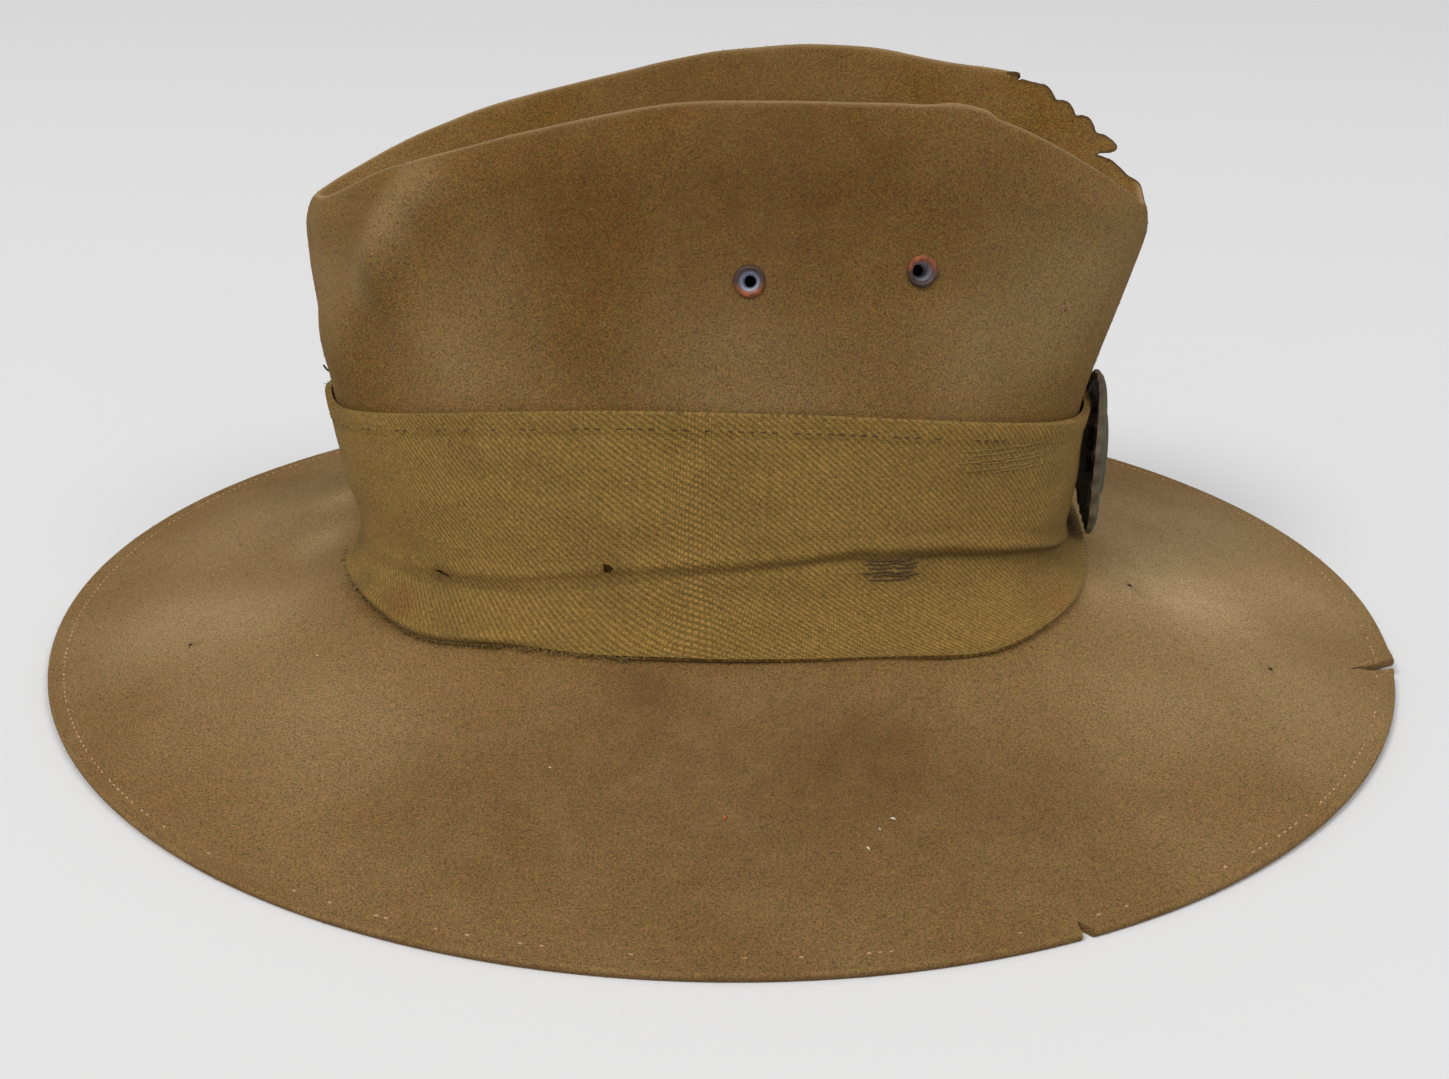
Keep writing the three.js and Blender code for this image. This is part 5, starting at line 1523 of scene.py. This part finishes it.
def loose_ends(row, ring, down):
    shapes = []
    for angle in rng.uniform(row["from_angle"], row["to_angle"], row["count"]):
        k = int((angle % 360) / 360 * BAND_COLUMNS) % BAND_COLUMNS
        way = out[ring, k]
        root = outside[ring, k] - way * FRAY_SINK
        side = np.cross([0, 0, 1], way)
        bend = rng.normal(0, 0.5)
        reach = row["length"] * rng.uniform(0.4, 1.25)
        t = np.linspace(0, 1, 5)[:, None]
        fall = np.array([0, 0, -1.0 if down else 1.0])
        direction = fall * rng.uniform(0.35, 0.8) + way * rng.uniform(0.15, 0.7) + side * bend
        curl = side * rng.normal(0, 0.4) + way * 0.3
        path = root + direction * reach * t + curl * reach * t**2
        shapes.append(tube(path, row["thickness"] / 2 * (1 - 0.6 * t[:, 0]), 3))
    return shapes


ochre_thread = plain_thread("ochre_cotton_thread", "#8E7340", "#5F4B22", 0.5)
darned = face_outward(piece("dark_darning", *gather(map(stitch_line, DARNS)), dark_thread))
faint_lines = [stitch_line(row, 0.12, 15) for row in FAINT_DARNS]
faint = face_outward(piece("faint_darning", *gather(faint_lines), ochre_thread))
frayed = [shape for row in FRAYS for shape in loose_ends(row, 0, True)]
frayed += [shape for row in TOP_FRAYS for shape in loose_ends(row, -1, False)]
frayed_ends = face_outward(piece("frayed_ends", *gather(frayed), ochre_thread))
root, way = band_place(LOOSE_ANGLE, LOOSE_HEIGHT)
strand = smooth_line([root + way * bend["out"] + (0, bend["aside"], bend["up"]) for bend in LOOSE_BENDS], 6)
loose_shape = tube(strand, LOOSE_RADIUS, 6, point_end=True)
loose_thread = face_outward(piece("loose_thread", *loose_shape, dark_thread))
print("frayed ends:", len(frayed), "darns:", len(DARNS) + len(FAINT_DARNS))

# %% [markdown]
# Bits of lint and dust sit on the brim, and one dark flake of felt curls up at the start of the torn edge.

# %% Lint and flake
LINT = table(
    "x y z size paint",
    (47.5, -110.2, 9.6, 0.8, "pale"), (42.1, -119.2, 7.9, 0.7, "pale"), (10.9, -113.6, 10.1, 0.9, "orange"),
    (110.7, -13.8, 20, 0.9, "dark"), (143.2, -38.9, 10.2, 0.8, "dark"), (-132.7, -48.5, 10.9, 0.7, "dark"),
    (44.6, -113.5, 9.0, 0.5, "pale"), (-30.0, -100.0, 13, 0.5, "pale"), (-95.0, -60.0, 15, 0.45, "pale"),
    (85.5, -26.3, 99.4, 0.5, "dark"),
)
LINT_PAINT = table(
    "paint name light dark",
    ("pale", "bleached_lint", "#D8CDB8", "#B7A88C"),
    ("orange", "orange_lint", "#C4662C", "#9A4A22"),
    ("dark", "dark_grit", "#4A3826", "#2E2218"),
)
felt_tree = search_tree(cut_points)
felt_normals = np.array([v.normal for v in felt_hat.data.vertices])


def on_felt(point):
    """The nearest place on the outer felt, projected along its normal."""
    number = next(n for _, n, _ in felt_tree.find_n(point, 12) if not is_inside[n])
    normal = felt_normals[number]
    return np.asarray(point) - normal * float(np.dot(np.asarray(point) - cut_points[number], normal)), normal


def bit_of_lint(row):
    spot, normal = on_felt((row["x"], row["y"], row["z"]))
    way = unit(np.cross(normal, rng.normal(0, 1, 3)))
    t = np.linspace(-1, 1, 5)[:, None]
    bow = spot + way * t * row["size"] * 0.8 + normal * (0.28 - 0.2 * t**2)
    return tube(bow, row["size"] * 0.35 * (1.1 - t[:, 0] ** 2 * 0.9), 6)


lint = []
for kind in LINT_PAINT:
    bits = gather([bit_of_lint(row) for row in LINT if row["paint"] == kind["paint"]])
    fibre = plain_thread(kind["name"] + "_fibre", kind["light"], kind["dark"], 0.5)
    lint.append(face_outward(piece(kind["name"], *bits, fibre)))

FLAKE_LENGTH, FLAKE_RADIUS, FLAKE_FORWARD = 4.6, 1.3, 75.3
FLAKE_SEARCH, FLAKE_ASIDE, FLAKE_SHIFT, FLAKE_DARK = 2.5, 8, (0.7, -1.6, -1.3), 0.85

t = np.linspace(0, 1, 10)
is_level = np.abs(cut_points[:, 0] - FLAKE_FORWARD) < FLAKE_SEARCH
beside_tear = cut_points[is_level & (cut_points[:, 1] > CROWN_OFFSET + FLAKE_ASIDE)]
flake_start = beside_tear[np.argmax(beside_tear[:, 2])] + FLAKE_SHIFT
flake_line = flake_start + np.stack([(t - 0.45) * FLAKE_LENGTH, 0 * t, 0.5 * t * t], axis=1)
flake_radius = FLAKE_RADIUS * np.sqrt(np.clip(1 - (t * 1.7 - 0.75) ** 2 * 0.9, 0.05, 1))
curled_flake = face_outward(piece("curled_flake", *tube(flake_line, flake_radius, 12), felt_material))
for attribute, value in (("torn", FLAKE_DARK), ("crown", 1.0)):
    store(curled_flake, attribute, np.full(len(curled_flake.data.vertices), value))
print("flake at", [round(float(v), 1) for v in flake_start])

# %% [markdown]
# Every piece rides on the hat's one body. The fine meshes stand for the imported ones, which stay hidden for
# the physics.

# %% Assembly
FELT_CREASE, CLOTH_CREASE, METAL_CREASE = math.radians(38), math.radians(50), math.radians(35)
dressed = [
    (felt_hat, "felt_body", "felt", FELT_CREASE),
    (cloth_band, "puggaree", "band_cloth", CLOTH_CREASE),
    (badge_plate, "badge", "badge_bronze", METAL_CREASE),
    (felt_nap, None, "felt", None),
    (curled_flake, None, "felt", FELT_CREASE),
    (brim_stitches, None, "felt", FELT_CREASE),
    (hem_stitches, None, "band_cloth", CLOTH_CREASE),
    (darned, None, "band_cloth", CLOTH_CREASE),
    (faint, None, "band_cloth", CLOTH_CREASE),
    (frayed_ends, None, "band_cloth", None),
    (loose_thread, None, "band_cloth", CLOTH_CREASE),
]
dressed += [(made, node, "eyelet_iron", METAL_CREASE) for made, node in eyelets]
dressed += [(made, None, "felt", FELT_CREASE) for made in lint]
for made, node, slot_name, crease in dressed:
    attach(made, "root")
    if node:
        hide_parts(node)
    if crease:
        made.data.shade_smooth()
        made.data.set_sharp_from_angle(angle=crease)
print("pieces:", len(dressed))

# %% [markdown]
# The floor is a plain pale sheet. One wide soft light stands high on the left, a weaker one on the right,
# and a pale sky fills the shadows.

# %% Light and floor
floor_material, tree = new_material("matt_white_paper")
paper = {"Base Color": colour("#D6D5D4"), "Roughness": 0.9, "Specular IOR Level": 0.1}
surface(tree, paper)
FLOOR_HALF = 4000.0
floor_corners = np.column_stack([rectangle(FLOOR_HALF, FLOOR_HALF), np.zeros(4)])
floor = piece("floor", floor_corners, [(0, 1, 2, 3)], floor_material)


def soft_light(name, place, size, watts, aim=(0, 0, 60)):
    data = bpy.data.lights.new(name, "AREA")
    data.shape = "DISK"
    data.size = size
    data.energy = watts
    light = bpy.data.objects.new(name, data)
    light.location = Vector(place) * MM
    light.rotation_euler = (Vector(aim) - Vector(place)).to_track_quat("-Z", "Y").to_euler()
    bpy.context.scene.collection.objects.link(light)
    return light


soft_light("key", (-2400, -2700, 5200), 2.6, 238)
soft_light("fill", (2700, -1900, 4700), 3.0, 110)
sky = bpy.data.worlds.new("pale_sky")
sky.use_nodes = True
backdrop = sky.node_tree.nodes["Background"].inputs
backdrop["Color"].default_value = colour("#F4F6FA")
backdrop["Strength"].default_value = 0.48
bpy.context.scene.world = sky
bpy.context.scene.view_settings.view_transform = "Standard"
